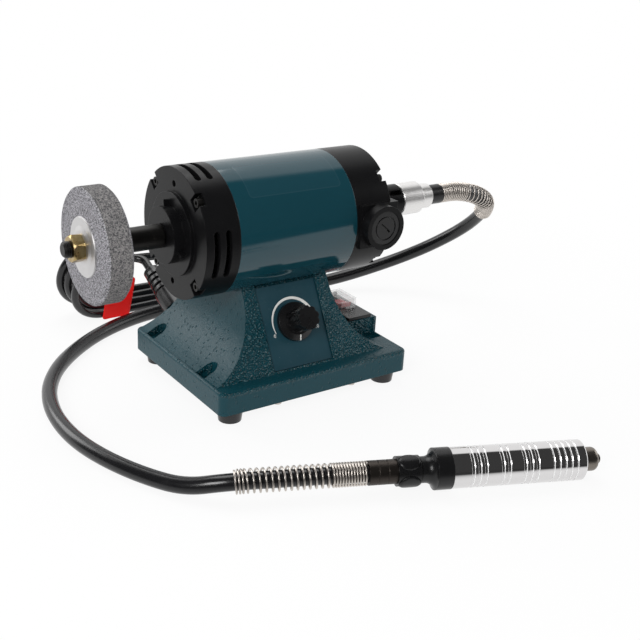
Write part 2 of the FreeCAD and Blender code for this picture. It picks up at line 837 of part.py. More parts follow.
def stator_and_brushes():
    """The field windings on their core, and the brush gear."""
    bore = d.core_r + d.air_gap
    core = ring(d.core_left, d.core_right, bore, tube_bore - 0.1)
    finish("stator_core", core)
    coils = []
    for x in (d.core_left - d.coil_r - d.clearance, d.core_right + d.coil_r + d.clearance):
        coil = bind(new("Part::Torus", "coil"), Radius1=d.coil_ring_r, Radius2=d.coil_r)
        coils.append(place(coil, (x, d.axle_y, d.axle_z), ALONG["x"]))
    finish("field_coils", group(*coils))

    holders = []
    brushes = []
    springs = []
    caps = []
    brush_tip = d.commutator_r + d.brush_gap
    brush_end = brush_tip + d.brush_length
    cap_seat = d.brush_boss_face - d.brush_cap_thick
    half_wide = d.brush_wide / 2
    half_high = d.brush_high / 2
    slot_turn = Rotation(Vector(0, 1, 0), 40)
    slot_corner = slot_turn.multVec(Vector(-5, 0, -0.7))
    for along, sign in (("y", 1), ("-y", -1)):
        def at(y):
            return (d.brush_x, d.axle_y + sign * y, d.axle_z)

        def slab(near, far, extra):
            low = near if sign > 0 else -far
            return block((d.brush_wide + 2 * extra, far - near, d.brush_high + 2 * extra),
                         (d.brush_x - half_wide - extra, d.axle_y + low, d.axle_z - half_high - extra))

        tube = rod(d.holder_r - 0.1, cap_seat - brush_tip - 2, at(brush_tip + 2), along)
        holders.append(cut(tube, slab(brush_tip, d.brush_boss_face, 0.1)))
        brushes.append(slab(brush_tip, brush_end, 0))
        springs.append(rod(half_wide - 0.4, cap_seat - brush_end, at(brush_end), along))
        disc = rod(d.brush_cap_r, d.brush_cap_thick - 0.5, at(cap_seat), along)
        face = d.brush_boss_face - 0.5
        groove = cut(rod(8.6, 2, at(face - 0.6), along), rod(7.7, 4, at(face - 1.6), along))
        slot_low = face - 1.6 if sign > 0 else -face - 1.4
        slot = block((10, 3, 1.4), (d.brush_x + slot_corner.x, d.axle_y + slot_low, d.axle_z + slot_corner.z),
                     slot_turn)
        caps.append(cut(disc, groove, slot))
    finish("brush_holders", group(*holders))
    finish("carbon_brushes", group(*brushes))
    finish("brush_springs", group(*springs))
    finish("brush_caps", group(*caps))


def rotor():
    """Everything on the motor shaft."""
    bore = d.shaft_r
    finish("motor_shaft", turned([
        (d.shaft_left, 0), (d.shaft_right, 0), (d.shaft_right, d.shaft_tail_r),
        (rear_bearing, d.shaft_tail_r), (rear_bearing, d.shaft_r), (sleeve_left, d.shaft_r),
        (sleeve_left, d.thread_r), (d.shaft_left + 1, d.thread_r), (d.shaft_left, d.thread_r - 1)]))
    finish("armature_core", ring(d.core_left, d.core_right, bore, d.core_r))
    left = d.core_left - d.winding_reach
    right = d.core_right + d.winding_reach
    finish("armature_windings", group(
        turned([(left, bore + 2), (d.core_left, bore + 2), (d.core_left, d.winding_r + 2),
                (left + 3, d.winding_r), (left, d.winding_r - 5)]),
        turned([(d.core_right, bore + 2), (right, bore + 2), (right, d.winding_r - 5),
                (right - 3, d.winding_r), (d.core_right, d.winding_r + 2)])))
    finish("commutator", ring(d.brush_x - d.commutator_half, d.brush_x + d.commutator_half,
                              bore, d.commutator_r))
    fan = ring(d.fan_x, d.fan_x + d.fan_disc, bore, d.fan_r)
    hub = ring(d.fan_x, d.fan_x + d.fan_thick, bore, bore + 4)
    blades = [radial_block((d.fan_thick, 1.6, d.fan_r - bore - 3.5), bore + 3, degrees, d.fan_x)
              for degrees in around(9)]
    finish("cooling_fan", fuse(fan, hub, *blades))

    def bearing(x, inner):
        race = d.bearing_width
        groove = (inner + d.bearing_r) / 2
        return cut(ring(x, x + race, inner, d.bearing_r),
                   ring(x - 1, x + 0.6, groove - 2, groove + 2),
                   ring(x + race - 0.6, x + race + 1, groove - 2, groove + 2))

    finish("front_bearing", bearing(front_bearing, d.shaft_r + d.running_fit))
    finish("rear_bearing", bearing(rear_bearing, d.shaft_tail_r + d.running_fit))
    finish("arbor_sleeve", ring(sleeve_left, nose_face - d.nose_gap, bore, d.sleeve_r))
    finish("inner_flange", ring(wheel_right, sleeve_left, d.thread_r, d.flange_r))
    edge = d.wheel_corner
    finish("grinding_wheel", turned([
        (d.wheel_left, d.thread_r), (wheel_right, d.thread_r), (wheel_right, d.wheel_r - edge),
        (wheel_right - edge, d.wheel_r), (d.wheel_left + edge, d.wheel_r), (d.wheel_left, d.wheel_r - edge)]))
    dish = d.wheel_left - d.flange_thick
    finish("outer_flange", turned([
        (d.wheel_left, d.thread_r), (dish, d.thread_r), (dish, d.flange_r * 0.55),
        (d.wheel_left - 0.8, d.flange_r * 0.7), (d.wheel_left - 0.8, d.flange_r - 0.4),
        (d.wheel_left, d.flange_r)]))
    corner = d.nut_flats / math.sqrt(3)
    angles = [math.radians(degrees) for degrees in around(6, 30)]
    hexagon = [(corner * math.cos(angle), corner * math.sin(angle)) for angle in angles]
    nut = padded("YZ_Plane", hexagon, d.nut_thick, (dish - d.nut_thick, d.axle_y, d.axle_z))
    crown = turned([(-d.nut_thick, 0), (0, 0), (0, corner - 0.6), (-d.nut_thick + 1.6, corner),
                    (-d.nut_thick, d.nut_flats / 2 - 0.1)], (dish, d.axle_y, d.axle_z))
    hole = rod(d.thread_r, 3 * d.nut_thick, (dish - 2 * d.nut_thick, d.axle_y, d.axle_z), "x")
    finish("wheel_nut", cut(common(nut, crown), hole))
    driver = d.shaft_right - d.driver_length / 2
    finish("core_driver", turned([
        (driver, d.shaft_tail_r), (d.shaft_right, d.shaft_tail_r), (d.shaft_right, 0),
        (driver + d.driver_length, 0), (driver + d.driver_length, d.driver_r), (driver, d.driver_r)]))


def coupling():
    """What the flexible shaft screws on to."""
    root = spigot_left + d.spigot_root
    body = turned([
        (spigot_left, d.shaft_tail_r + 3), (spigot_left, d.spigot_root_r), (root - 2, d.spigot_root_r),
        (root, d.spigot_root_r - 3), (root, d.spigot_neck_r),
        (d.coupling_left - d.clearance, d.spigot_neck_r),
        (d.coupling_left - d.clearance, d.spigot_r), (d.spigot_right, d.spigot_r),
        (d.spigot_right, d.spigot_bore_r), (rear_bearing + d.bearing_width, d.spigot_bore_r),
        (rear_bearing + d.bearing_width, d.bearing_r), (rear_bearing, d.bearing_r),
        (rear_bearing, d.shaft_tail_r + 3)])
    slot = (d.coupling_left - root - 5, d.spigot_slot, d.spigot_r)
    slots = [radial_block(slot, d.spigot_bore_r - 1, degrees, root + 3) for degrees in around(4, 45)]
    finish("coupling_spigot", cut(body, *slots))
    bore = d.sheath_r + 0.1
    finish("coupling_nut", turned([
        (d.coupling_left, d.spigot_r + 0.05), (d.coupling_left, d.coupling_r - 0.8),
        (d.coupling_left + 0.8, d.coupling_r),
        (d.coupling_shoulder - 1.5, d.coupling_r), (d.coupling_shoulder, d.coupling_r - 1.5),
        (d.coupling_shoulder, d.coupling_neck_r), (d.coupling_right - 0.8, d.coupling_neck_r),
        (d.coupling_right, d.coupling_neck_r - 0.8), (d.coupling_right, bore),
        (d.spigot_right + 0.2, bore), (d.spigot_right + 0.2, d.spigot_r + 0.05)]))
    finish("shaft_ferrule", ring(d.coupling_right, d.ferrule_right, bore, d.ferrule_r))


def arc_from(start, leaving, end):
    """The arc that leaves a point along a direction and passes through another point."""
    chord = end - start
    ahead = chord.dot(leaving)
    aside = chord - leaving * ahead
    if aside.Length < 1e-7:
        return Part.LineSegment(start, end).toShape()
    radius = chord.dot(chord) / (2 * aside.Length)
    half = math.atan2(aside.Length, ahead)
    aside.normalize()
    middle = start + leaving * (radius * math.sin(half)) + aside * (radius * (1 - math.cos(half)))
    return Part.Arc(start, middle, end).toShape()


def biarc(start, leaving, end, arriving):
    """Two arcs that leave one point and reach another along given directions."""
    chord = end - start
    along = chord.dot(leaving + arriving)
    spread = 2 * (1 - leaving.dot(arriving))
    reach = chord.dot(chord) / (along + math.sqrt(along ** 2 + spread * chord.dot(chord)))
    near = start + leaving * reach
    far = end - arriving * reach
    across = (far - near).normalize()
    middle = (near + far) * 0.5
    return [arc_from(start, leaving, middle), arc_from(middle, across, end)]


def rounded_way(label, points):
    """Straight runs through the points, with a tangent arc on 0.45 of the shorter run at each corner."""
    edges = []
    radii = []
    here = points[0]
    for before, corner, after in zip(points, points[1:], points[2:]):
        inward = corner - before
        onward = after - corner
        reach = 0.45 * min(inward.Length, onward.Length)
        half_turn = inward.getAngle(onward) / 2
        inward.normalize()
        onward.normalize()
        start = corner - inward * reach
        edges.append(Part.LineSegment(here, start).toShape())
        edges.append(arc_from(start, inward, corner + onward * reach))
        radii.append(reach / math.tan(half_turn))
        here = corner + onward * reach
    edges.append(Part.LineSegment(here, points[-1]).toShape())
    print("%s: least bend radius %.1f" % (label, min(radii)))
    return edges


def piped(edges, radius):
    """A round bar along edges that follow each other smoothly."""
    first = edges[0]
    start = first.valueAt(first.FirstParameter)
    hoop = Part.Circle(start, first.tangentAt(first.FirstParameter), number(radius)).toShape()
    return Part.Wire(edges).makePipeShell([Part.Wire([hoop])], True, False)


def report_pipe(label, shape, edges, radius, skip):
    """Print a bar's volume against section times length, and its least gap to itself.

    Points nearer than the skip along the bar don't count as another turn.
    """
    wire = Part.Wire(edges)
    ideal = math.pi * number(radius) ** 2 * wire.Length
    step = skip / 12
    points = wire.discretize(Number=int(wire.Length / step))
    apart = min(a.distanceToPoint(b) for i, a in enumerate(points) for b in points[i + 13:])
    print("%s: length %.0f, volume ratio %.4f, least gap to itself %.2f"
          % (label, wire.Length, shape.Volume / ideal, apart - 2 * number(radius)))


def shaped(label, shape):
    """A sub-part whose shape follows a route."""
    thing = new("Part::Feature", label)
    thing.Shape = shape
    thing.Placement = FreeCAD.Placement()
    return finish(label, thing)


def hand_station(along):
    """A point on the handpiece's axis."""
    angle = math.radians(number(d.hand_turn))
    return Vector(number(d.hand_x) + number(along) * math.cos(angle),
                  number(d.hand_y) + number(along) * math.sin(angle), number(HAND_AXIS))


def shaft_way(start_x, hand_end):
    """The flexible shaft's route from the coupling, behind the base, round the left to the handpiece."""
    low = number(FLOOR) + number(d.sheath_r) + 0.05
    axle_y = number(d.axle_y)
    axle_z = number(d.axle_z)
    droop = [(167, axle_y, axle_z), (187.4, -7.1, 101.4), (208.5, 1.1, 90.5), (221.7, 17.2, 75.2),
             (222.9, 38.2, 55.5), (209.4, 61.4, 35.2), (191.9, 79.3, 20.8), (168.7, 92.6, 10.1),
             (140.4, 102.4, 2), (107.7, 110.6, -2.4)]
    floor = [(70.6, 117.9), (30, 122), (-14, 120.5), (-53, 114), (-87, 99), (-116, 78), (-140, 53),
             (-157, 23), (-165.5, -11), (-166, -45), (-159, -77), (-147, -106)]
    points = [Vector(number(start_x), axle_y, axle_z)]
    points += [Vector(*point) for point in droop]
    points += [Vector(x, y, low) for x, y in floor]
    points += [Vector(-134, -129, low + 1.2), hand_station(-8), hand_station(hand_end)]
    return points


def curls(edges, first, sections):
    """The wire of a spring wound round a route: sections of (turns, pitch) from a distance along it."""
    lengths = [edge.Length for edge in edges]

    def on_route(along):
        for edge, length in zip(edges, lengths):
            if along <= length or edge is edges[-1]:
                parameter = edge.getParameterByLength(along)
                return edge.valueAt(parameter), edge.tangentAt(parameter)
            along -= length

    radius = number(d.spring_coil_r)
    pitches = [pitch for turns, pitch in sections for quarter in range(4 * turns)]
    normal = Vector(0, 0, 1)

    def curl(along, angle):
        centre, ahead = on_route(along)
        up = (normal - ahead * normal.dot(ahead)).normalize()
        return centre + up * (radius * math.cos(angle)) + ahead.cross(up) * (radius * math.sin(angle))

    along = first
    knots = []
    nudge = 0.002
    for quarter in range(len(pitches) + 1):
        pitch = min(pitches[max(quarter - 1, 0)], pitches[min(quarter, len(pitches) - 1)])
        ahead = on_route(along)[1]
        normal = (normal - ahead * normal.dot(ahead)).normalize()
        angle = quarter * math.pi / 2
        rise = nudge * pitch / 4
        swing = nudge * math.pi / 2
        heading = (curl(along + rise, angle + swing) - curl(along - rise, angle - swing)).normalize()
        knots.append((curl(along, angle), heading))
        along += pitches[min(quarter, len(pitches) - 1)] / 4
    tail = 2 * number(d.spring_wire_r)
    start, leaving = knots[0]
    end, arriving = knots[-1]
    wire = [Part.LineSegment(start - leaving * tail, start).toShape()]
    for (here, heading), (there, onward) in zip(knots, knots[1:]):
        wire += biarc(here, heading, there, onward)
    wire.append(Part.LineSegment(end, end + arriving * tail).toShape())
    return wire


def flexible_shaft():
    """The sheath with its turning core, and the springs that guard its two ends."""
    edges = rounded_way("flex_sheath", shaft_way(d.spigot_right + 2, d.hand_neck + 10))
    bore = d.sheath_r - d.sheath_wall
    hollow = piped(edges, d.sheath_r).cut(piped(edges, bore))
    shaped("flex_sheath", hollow)
    print("flex_sheath: length %.0f" % Part.Wire(edges).Length)
    driver_end = d.shaft_right + d.driver_length / 2
    core = rounded_way("flex_core", shaft_way(driver_end + d.clearance, d.hand_spindle_start - d.clearance))
    shaped("flex_core", piped(core, d.core_wire_r))

    tight = number(d.spring_tight_pitch)
    guard = number(d.ferrule_right - d.spigot_right - 2 + d.spring_wire_r + d.clearance)
    bent = number(d.spring_bent_pitch)
    wire = curls(edges, guard, [(5, tight), (9, bent), (8, number(d.guard_open_pitch)), (13, bent)])
    spring = piped(wire, d.spring_wire_r)
    report_pipe("coupling_spring", spring, wire, d.spring_wire_r, 12)
    shaped("coupling_spring", spring)

    whole = Part.Wire(edges).Length
    start = whole - number(d.hand_neck + 10 - d.hand_spring)
    bent_turns, loose_turns, closed_turns = 3, 14, 12
    loose = (number(d.hand_tight - d.hand_spring) - bent_turns * bent) / loose_turns
    closed = number(d.hand_ferrule - d.hand_tight - d.spring_wire_r - d.clearance) / closed_turns
    wire = curls(edges, start, [(bent_turns, bent), (loose_turns, loose), (closed_turns, closed)])
    spring = piped(wire, d.spring_wire_r)
    report_pipe("hand_spring", spring, wire, d.spring_wire_r, 12)
    shaped("hand_spring", spring)


def on_hand(corners):
    return turned(corners, HAND, HAND_TURN)


def handpiece():
    """The handpiece on the end of the flexible shaft, measured along its axis."""
    sheath_bore = d.sheath_r + 0.1
    ferrule = [(d.hand_ferrule, sheath_bore), (d.hand_ferrule, d.hand_ferrule_r)]
    lines = 2
    apart = (d.hand_neck - d.hand_ferrule) / (lines + 1)
    for line in range(lines):
        middle = d.hand_ferrule + (line + 1) * apart
        ferrule += [(middle - d.ferrule_line_wide / 2, d.hand_ferrule_r),
                    (middle, d.hand_ferrule_r - d.ferrule_line_deep),
                    (middle + d.ferrule_line_wide / 2, d.hand_ferrule_r)]
    ferrule += [(d.hand_neck, d.hand_ferrule_r), (d.hand_neck, sheath_bore)]
    finish("hand_ferrule", on_hand(ferrule))

    hollow = d.hand_spindle_r + 2
    tenon_r = d.hand_bore_r - 0.05
    tenon_end = d.hand_sleeve + d.hand_tenon
    sheath_end = d.hand_neck + 11
    run = d.hand_collar - d.hand_flare
    rise = d.hand_collar_r - d.hand_waist_r
    flare_r = (run * run + rise * rise) / (2 * rise)
    finish("hand_neck", on_hand([
        (d.hand_neck, sheath_bore), (d.hand_neck, d.hand_neck_r), (d.hand_waist, d.hand_neck_r),
        (d.hand_waist + 0.8, d.hand_waist_r), (d.hand_flare, d.hand_waist_r, flare_r, -1),
        (d.hand_collar, d.hand_collar_r), (d.hand_sleeve, d.hand_collar_r), (d.hand_sleeve, tenon_r),
        (tenon_end, tenon_r), (tenon_end, hollow), (sheath_end, hollow), (sheath_end, sheath_bore)]))

    front_wall = d.hand_sleeve_end - d.hand_front_wall
    broad = (d.hand_groove_pitch, d.hand_groove_wide)
    fine = (d.hand_fine_pitch, d.hand_fine_wide)
    floor = d.hand_sleeve_r - d.hand_groove
    sleeve = [(d.hand_sleeve, d.hand_bore_r), (d.hand_sleeve, d.hand_sleeve_r)]
    bands = ((10.6, 3, broad), (29.3, 2, broad), (43.3, 3, broad), (62.2, 5, fine))
    for first, count, (pitch, wide) in bands:
        for groove in range(count):
            low = d.hand_sleeve + first + groove * pitch
            sleeve += [(low, d.hand_sleeve_r), (low + d.hand_groove_near, floor),
                       (low + wide - d.hand_groove_far, floor), (low + wide, d.hand_sleeve_r)]
    sleeve += [(d.hand_sleeve_end - d.hand_chamfer, d.hand_sleeve_r),
               (d.hand_sleeve_end, d.hand_sleeve_r - d.hand_chamfer),
               (d.hand_sleeve_end, d.hand_spindle_r + 1), (front_wall, d.hand_spindle_r + 1),
               (front_wall, d.hand_bore_r)]
    finish("hand_sleeve", on_hand(sleeve))

    inner = d.hand_spindle_r + d.running_fit
    outer = d.hand_bore_r - 0.05
    bearings = [ring(x, x + d.hand_bearing, inner, outer, HAND, HAND_TURN)
                for x in (tenon_end + 1, front_wall - d.hand_bearing - 0.1)]
    finish("hand_bearings", group(*bearings))

    collet_r = d.hand_spindle_r - 1
    tip = d.hand_nose_end + d.collet_tip
    collet_back = tip - d.collet_depth - 2
    spindle_end = d.hand_sleeve_end + d.clearance
    pocket = collet_back - d.clearance
    finish("hand_spindle", on_hand([
        (d.hand_spindle_start, 0), (pocket, 0), (pocket, collet_r), (spindle_end, collet_r),
        (spindle_end, d.hand_spindle_r), (d.hand_spindle_start, d.hand_spindle_r)]))
    finish("collet", on_hand([
        (collet_back, 0), (tip - d.collet_depth, 0), (tip - d.collet_depth, d.collet_bore_r),
        (tip, d.collet_bore_r), (tip, collet_r - 0.5), (tip - 0.5, collet_r), (collet_back, collet_r)]))
    finish("collet_nut", on_hand([
        (spindle_end, collet_r), (d.hand_nose_end, collet_r),
        (d.hand_nose_end, d.nose_ring_r - d.nose_round, d.nose_round, -1),
        (d.hand_nose_end - d.nose_round, d.nose_ring_r), (spindle_end, d.nose_ring_r)]))


def power_switch():
    """The rocker switch in its box on the base, under a hinged clear hood."""
    deck = d.switch_box_top + d.bezel_thick
    pocket = (d.rocker_wide + 2 * d.clearance, d.rocker_long + 2)

    def over_rocker(length, width, low, high):
        """A block with its middle over the rocker."""
        return block((length, width, high - low), (d.rocker_x - length / 2, d.rocker_y - width / 2, low))

    pivot_z = deck - 1
    pin_length = d.rocker_wide + 4
    pin_left = d.rocker_x - pin_length / 2

    def pin(radius):
        return rod(radius, pin_length, (pin_left, d.rocker_y, pivot_z), "x")

    body = over_rocker(d.rocker_wide + 5.4, d.rocker_long + 7.4, d.floor_wall + 1, d.switch_box_top)
    finish("switch_body", cut(body, over_rocker(pocket[0], pocket[1], d.switch_box_top - 7, deck)))
    finish("rocker_pin", pin(d.rocker_pin_r))

    half = d.rocker_long / 2
    rise = d.rocker_rise
    rocker = padded("YZ_Plane", [
        (-half, rise + 1), (0, rise), (half, rise + 1), (half - 0.6, -1.5), (2.5, -4.5), (-2.5, -4.5),
        (0.6 - half, -1.5)], d.rocker_wide, (d.rocker_x - d.rocker_wide / 2, d.rocker_y, pivot_z),
        Rotation(Vector(1, 0, 0), -number(d.rocker_tilt)))
    finish("switch_rocker", cut(rocker, pin(d.rocker_pin_r + d.running_fit)))

    hinge_y = d.hood_back + d.hood_barrel_r + 0.5
    hinge_z = deck + d.hood_barrel_r + d.clearance
    barrel_half = d.hood_wide / 4
    ear = d.hood_barrel_r

    def hinge_rod(radius, left, length):
        return rod(radius, length, (d.rocker_x + left, hinge_y, hinge_z), "x")

    plate = block((d.bezel_right - d.bezel_left, d.bezel_back - d.bezel_front, d.bezel_thick),
                  (d.bezel_left, d.bezel_front, d.switch_box_top))
    ears = []
    for left in (-barrel_half - d.clearance - ear, barrel_half + d.clearance):
        ears.append(hinge_rod(d.hood_barrel_r, left, ear))
        ears.append(block((ear, 2 * d.hood_barrel_r, hinge_z - deck + 0.5),
                          (d.rocker_x + left, hinge_y - d.hood_barrel_r, deck - 0.5)))
    window = over_rocker(pocket[0], pocket[1], d.switch_box_top - 1, deck + 1)
    span = 2 * (barrel_half + d.clearance + ear)
    hole = hinge_rod(d.hood_pin_r + 0.05, -span / 2, span)
    seats = over_rocker(pin_length + 0.4, 2 * d.rocker_pin_r + 0.2,
                        d.switch_box_top - 1, pivot_z + d.rocker_pin_r)
    finish("switch_bezel", cut(fuse(plate, *ears), window, hole, seats))
    finish("hood_pin", hinge_rod(d.hood_pin_r, -span / 2, span))

    floor = deck + d.clearance
    left = d.rocker_x - d.hood_wide / 2
    shell = block((d.hood_wide, d.hood_back - d.hood_front, d.hood_high), (left, d.hood_front, floor))
    inside = block((d.hood_wide - 2 * d.hood_wall, d.hood_back - d.hood_front - 2 * d.hood_wall, d.hood_high),
                   (left + d.hood_wall, d.hood_front + d.hood_wall, floor - d.hood_wall))
    tab = block((d.hood_wide * 0.6, d.hood_tab + 0.5, 1.2),
                (d.rocker_x - d.hood_wide * 0.3, d.hood_front - d.hood_tab, floor))
    barrel = hinge_rod(d.hood_barrel_r, -barrel_half, 2 * barrel_half)
    web = block((2 * barrel_half, hinge_y - d.hood_back + 0.8, d.hood_barrel_r),
                (d.rocker_x - barrel_half, d.hood_back - 0.8, hinge_z - d.hood_barrel_r / 2))
    bore = hinge_rod(d.hood_pin_r + d.running_fit, -span / 2, span)
    finish("switch_hood", cut(fuse(cut(shell, inside), tab, barrel, web), bore))


HANK_LEAN = math.radians(20)
HANK_UP = Vector(0, -math.sin(HANK_LEAN), math.cos(HANK_LEAN))
HANK_DEEP = Vector(0, math.cos(HANK_LEAN), math.sin(HANK_LEAN))
HANK_MIDDLE = Vector(-22, 137.5, 23.3)
HANK_TURNS = 4.5
HANK_REVERSALS = (0.875, 1.875, 2.875)


def hank_point(turn):
    """A point of the folded mains lead, after some turns.

    Each turn is a fold, a run, a fold and a run, a quarter turn each. The fold's radius shrinks and
    grows by a steady step per turn, turning back at each reversal, where the lead also climbs a layer.
    """
    step = number(d.hank_step)
    fold_r = number(d.hank_fold_r)
    sign = -1
    before = 0
    layer = -1.5
    for reversal in HANK_REVERSALS:
        if turn > reversal:
            fold_r += sign * step * (reversal - before)
            before = reversal
            sign = -sign
        climb = min(max((turn - reversal) * 2 + 0.5, 0), 1)
        layer += climb * climb * (3 - 2 * climb)
    fold_r += sign * step * (turn - before)
    half = number(d.hank_half_run)
    stretch, share = divmod(4 * (turn % 1), 1)
    angle = math.pi * share
    along, up = [
        (-half - fold_r * math.sin(angle), fold_r * math.cos(angle)),
        (-half + 2 * half * share, -fold_r),
        (half + fold_r * math.sin(angle), -fold_r * math.cos(angle)),
        (half - 2 * half * share, fold_r),
    ][int(stretch)]
    return HANK_MIDDLE + Vector(along, 0, 0) + HANK_UP * up + HANK_DEEP * (layer * number(d.hank_layer))


def vector(point):
    return Vector(*[number(c) for c in point])


def mains_lead():
    """The mains lead from its boot, folded into a hank behind the base, to its plug."""
    outward = vector(gland_point(1)) - vector(gland_point(0))
    plug_at = (d.plug_x, d.plug_y, FLOOR + d.plug_thick / 2)
    plug_start = vector(plug_at)
    boot_end = vector(gland_point(d.boot_length + 3))
    edges = [Part.LineSegment(vector(gland_point(-d.boot_length / 4)), boot_end).toShape()]
    right = Vector(1, 0, 0)
    knots = []
    steps = int(16 * HANK_TURNS)
    nudge = 0.001
    for step in range(1, steps):
        turn = step / 16
        heading = (hank_point(turn + nudge) - hank_point(turn - nudge)).normalize()
        knots.append((hank_point(turn), heading))
    knots.append((hank_point(HANK_TURNS), right))
    edges += biarc(boot_end, outward, *knots[0])
    for (here, heading), (there, onward) in zip(knots, knots[1:]):
        edges += biarc(here, heading, there, onward)
    edges += biarc(*knots[-1], plug_start, right)
    lead = piped(edges, d.lead_r)
    report_pipe("mains_lead", lead, edges, d.lead_r, 48)
    radii = [edge.Curve.Radius for edge in edges if hasattr(edge.Curve, "Radius")]
    print("mains_lead: least bend radius %.1f" % min(radii))
    shaped("mains_lead", lead)
    mains_boot(Rotation(Vector(1, 0, 0), outward))
    plug(plug_at)


def hank_trim():
    """The tie round the folded lead's upper runs, and the tag that hangs in front of it."""
    flat = Rotation(Vector(1, 0, 0), math.degrees(HANK_LEAN))

    def in_hank(sizes, along, deep, up):
        """A block square to the hank, from a corner along, through and up it."""
        corner = HANK_MIDDLE + Vector(along, 0, 0) + HANK_DEEP * deep + HANK_UP * up
        return block(sizes, corner, flat)

    outside = 1.5 * number(d.hank_layer) + number(d.lead_r + d.clearance)
    low = number(d.hank_fold_r - d.hank_step - d.lead_r) - 0.2
    high = number(d.hank_fold_r + d.lead_r) + 2.2
    wall = number(d.tie_wall)
    band = in_hank((d.tie_wide, 2 * (outside + wall), high - low + 2 * wall), 16, -outside - wall, low - wall)
    hole = in_hank((3 * d.tie_wide, 2 * outside, high - low), 16 - number(d.tie_wide), -outside, low)
    finish("cord_tie", cut(band, hole))
    tag = (d.tag_wide, d.tag_thick, d.tag_high)
    finish("cord_tag", in_hank(tag, -47, -outside - number(d.tag_thick), -28.6))


def plug(at):
    """A flat two-pin plug that lies on the floor."""
    half = d.plug_wide / 2
    body = padded("XY_Plane", [
        (0, -5), (9, -7), (d.plug_length - 11, -half), (d.plug_length, -half), (d.plug_length, half),
        (d.plug_length - 11, half), (9, 7), (0, 5)], d.plug_thick, (d.plug_x, d.plug_y, FLOOR))
    finish("plug_body", body)
    pins = [rod(d.plug_pin_r, d.plug_pin_length,
                (d.plug_x + d.plug_length, d.plug_y + side * d.plug_pin_spacing / 2, at[2]), "x")
            for side in (-1, 1)]
    finish("plug_pins", group(*pins))


def mains_boot(turn):
    """The tapered boot where the lead leaves the base, ribbed on its thin half."""
    bore = d.lead_r + 0.1
    ribs = 4
    pitch = d.boot_length * 0.5 / ribs
    waist = d.boot_length * 0.42
    profile = [(0, bore), (0, d.boot_root_r), (waist, d.boot_root_r - 0.8)]
    for rib in range(ribs):
        low = waist + rib * pitch
        radius = d.boot_root_r - 1.4 - rib * d.boot_rib_step
        profile += [(low, radius - 1.2), (low + pitch * 0.4, radius - 1.3), (low + pitch * 0.4, radius),
                    (low + pitch, radius - 0.3)]
    profile += [(waist + ribs * pitch, d.boot_tip_r), (d.boot_length, d.boot_tip_r), (d.boot_length, bore)]
    finish("mains_boot", turned(profile, gland_point(0), turn))


underside()
controls()
motor_shell()
stator_and_brushes()
rotor()
coupling()
base_casting()
flexible_shaft()
handpiece()
power_switch()
mains_lead()
hank_trim()
doc.recompute()

for thing in doc.Objects:
    if "Invalid" in thing.State or "Error" in thing.State:
        raise RuntimeError("%s did not compute" % thing.Label)
for thing in nodes:
    if thing.Shape.isNull() or not thing.Shape.isValid():
        raise RuntimeError("%s has no valid shape" % thing.Label)

os.makedirs("parts", exist_ok=True)
for thing in nodes:
    thing.Shape.exportStep("parts/%s.step" % thing.Label)
print("%d sub-parts written" % len(nodes))
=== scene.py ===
"""The looks of a small bench grinder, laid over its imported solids.

Metres, in the frame of the solids: +Z up, X along the motor shaft with the wheel towards -X,
and the panel facing -Y.
"""
import json
import math

import bpy
import numpy as np
from mathutils import Matrix, Vector


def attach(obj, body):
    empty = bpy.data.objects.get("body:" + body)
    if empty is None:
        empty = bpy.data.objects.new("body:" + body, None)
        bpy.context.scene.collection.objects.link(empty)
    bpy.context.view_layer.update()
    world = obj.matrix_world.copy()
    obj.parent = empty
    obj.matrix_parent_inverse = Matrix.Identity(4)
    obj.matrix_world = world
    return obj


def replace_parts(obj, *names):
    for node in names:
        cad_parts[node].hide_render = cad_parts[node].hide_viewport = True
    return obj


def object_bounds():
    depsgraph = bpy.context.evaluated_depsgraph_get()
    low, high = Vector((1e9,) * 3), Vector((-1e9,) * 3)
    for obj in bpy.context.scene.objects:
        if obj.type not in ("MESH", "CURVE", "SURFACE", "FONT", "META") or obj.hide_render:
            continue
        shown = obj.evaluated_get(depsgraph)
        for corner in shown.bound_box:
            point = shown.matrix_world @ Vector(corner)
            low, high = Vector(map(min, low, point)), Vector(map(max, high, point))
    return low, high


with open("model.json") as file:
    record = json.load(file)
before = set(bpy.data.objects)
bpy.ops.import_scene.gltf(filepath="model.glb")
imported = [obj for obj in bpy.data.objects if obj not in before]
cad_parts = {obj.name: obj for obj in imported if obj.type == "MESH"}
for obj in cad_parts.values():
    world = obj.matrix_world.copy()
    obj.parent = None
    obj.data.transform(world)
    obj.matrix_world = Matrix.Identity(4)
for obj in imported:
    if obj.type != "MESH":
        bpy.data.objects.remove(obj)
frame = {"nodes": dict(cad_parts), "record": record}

bl_info = {
    "name": "Bench grinder",
    "version": (1, 0, 0),
    "blender": (4, 5, 0),
    "location": "View3D > Sidebar > Grinder",
    "description": "Finishes, cords and small trim of a bench grinder with a flexible shaft",
    "category": "Object",
}

MM = 0.001
CAD_BOX = [[float(c) for c in corner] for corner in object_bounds()]
FLOOR = CAD_BOX[0][2]
SHARP = math.radians(35)
WHITE = (1, 1, 1, 1)

# Directions in the frame: arrays for points, and tuples for what the finishes measure along.
RIGHT = np.array([1.0, 0, 0])
UP = np.array([0, 0, 1.0])
ALONG_X = (1, 0, 0)
ALONG_Y = (0, 1, 0)
ALONG_Z = (0, 0, 1)
TO_FRONT = (0, -1, 0)
TO_CAMERA = (-0.586, -0.81, 0)

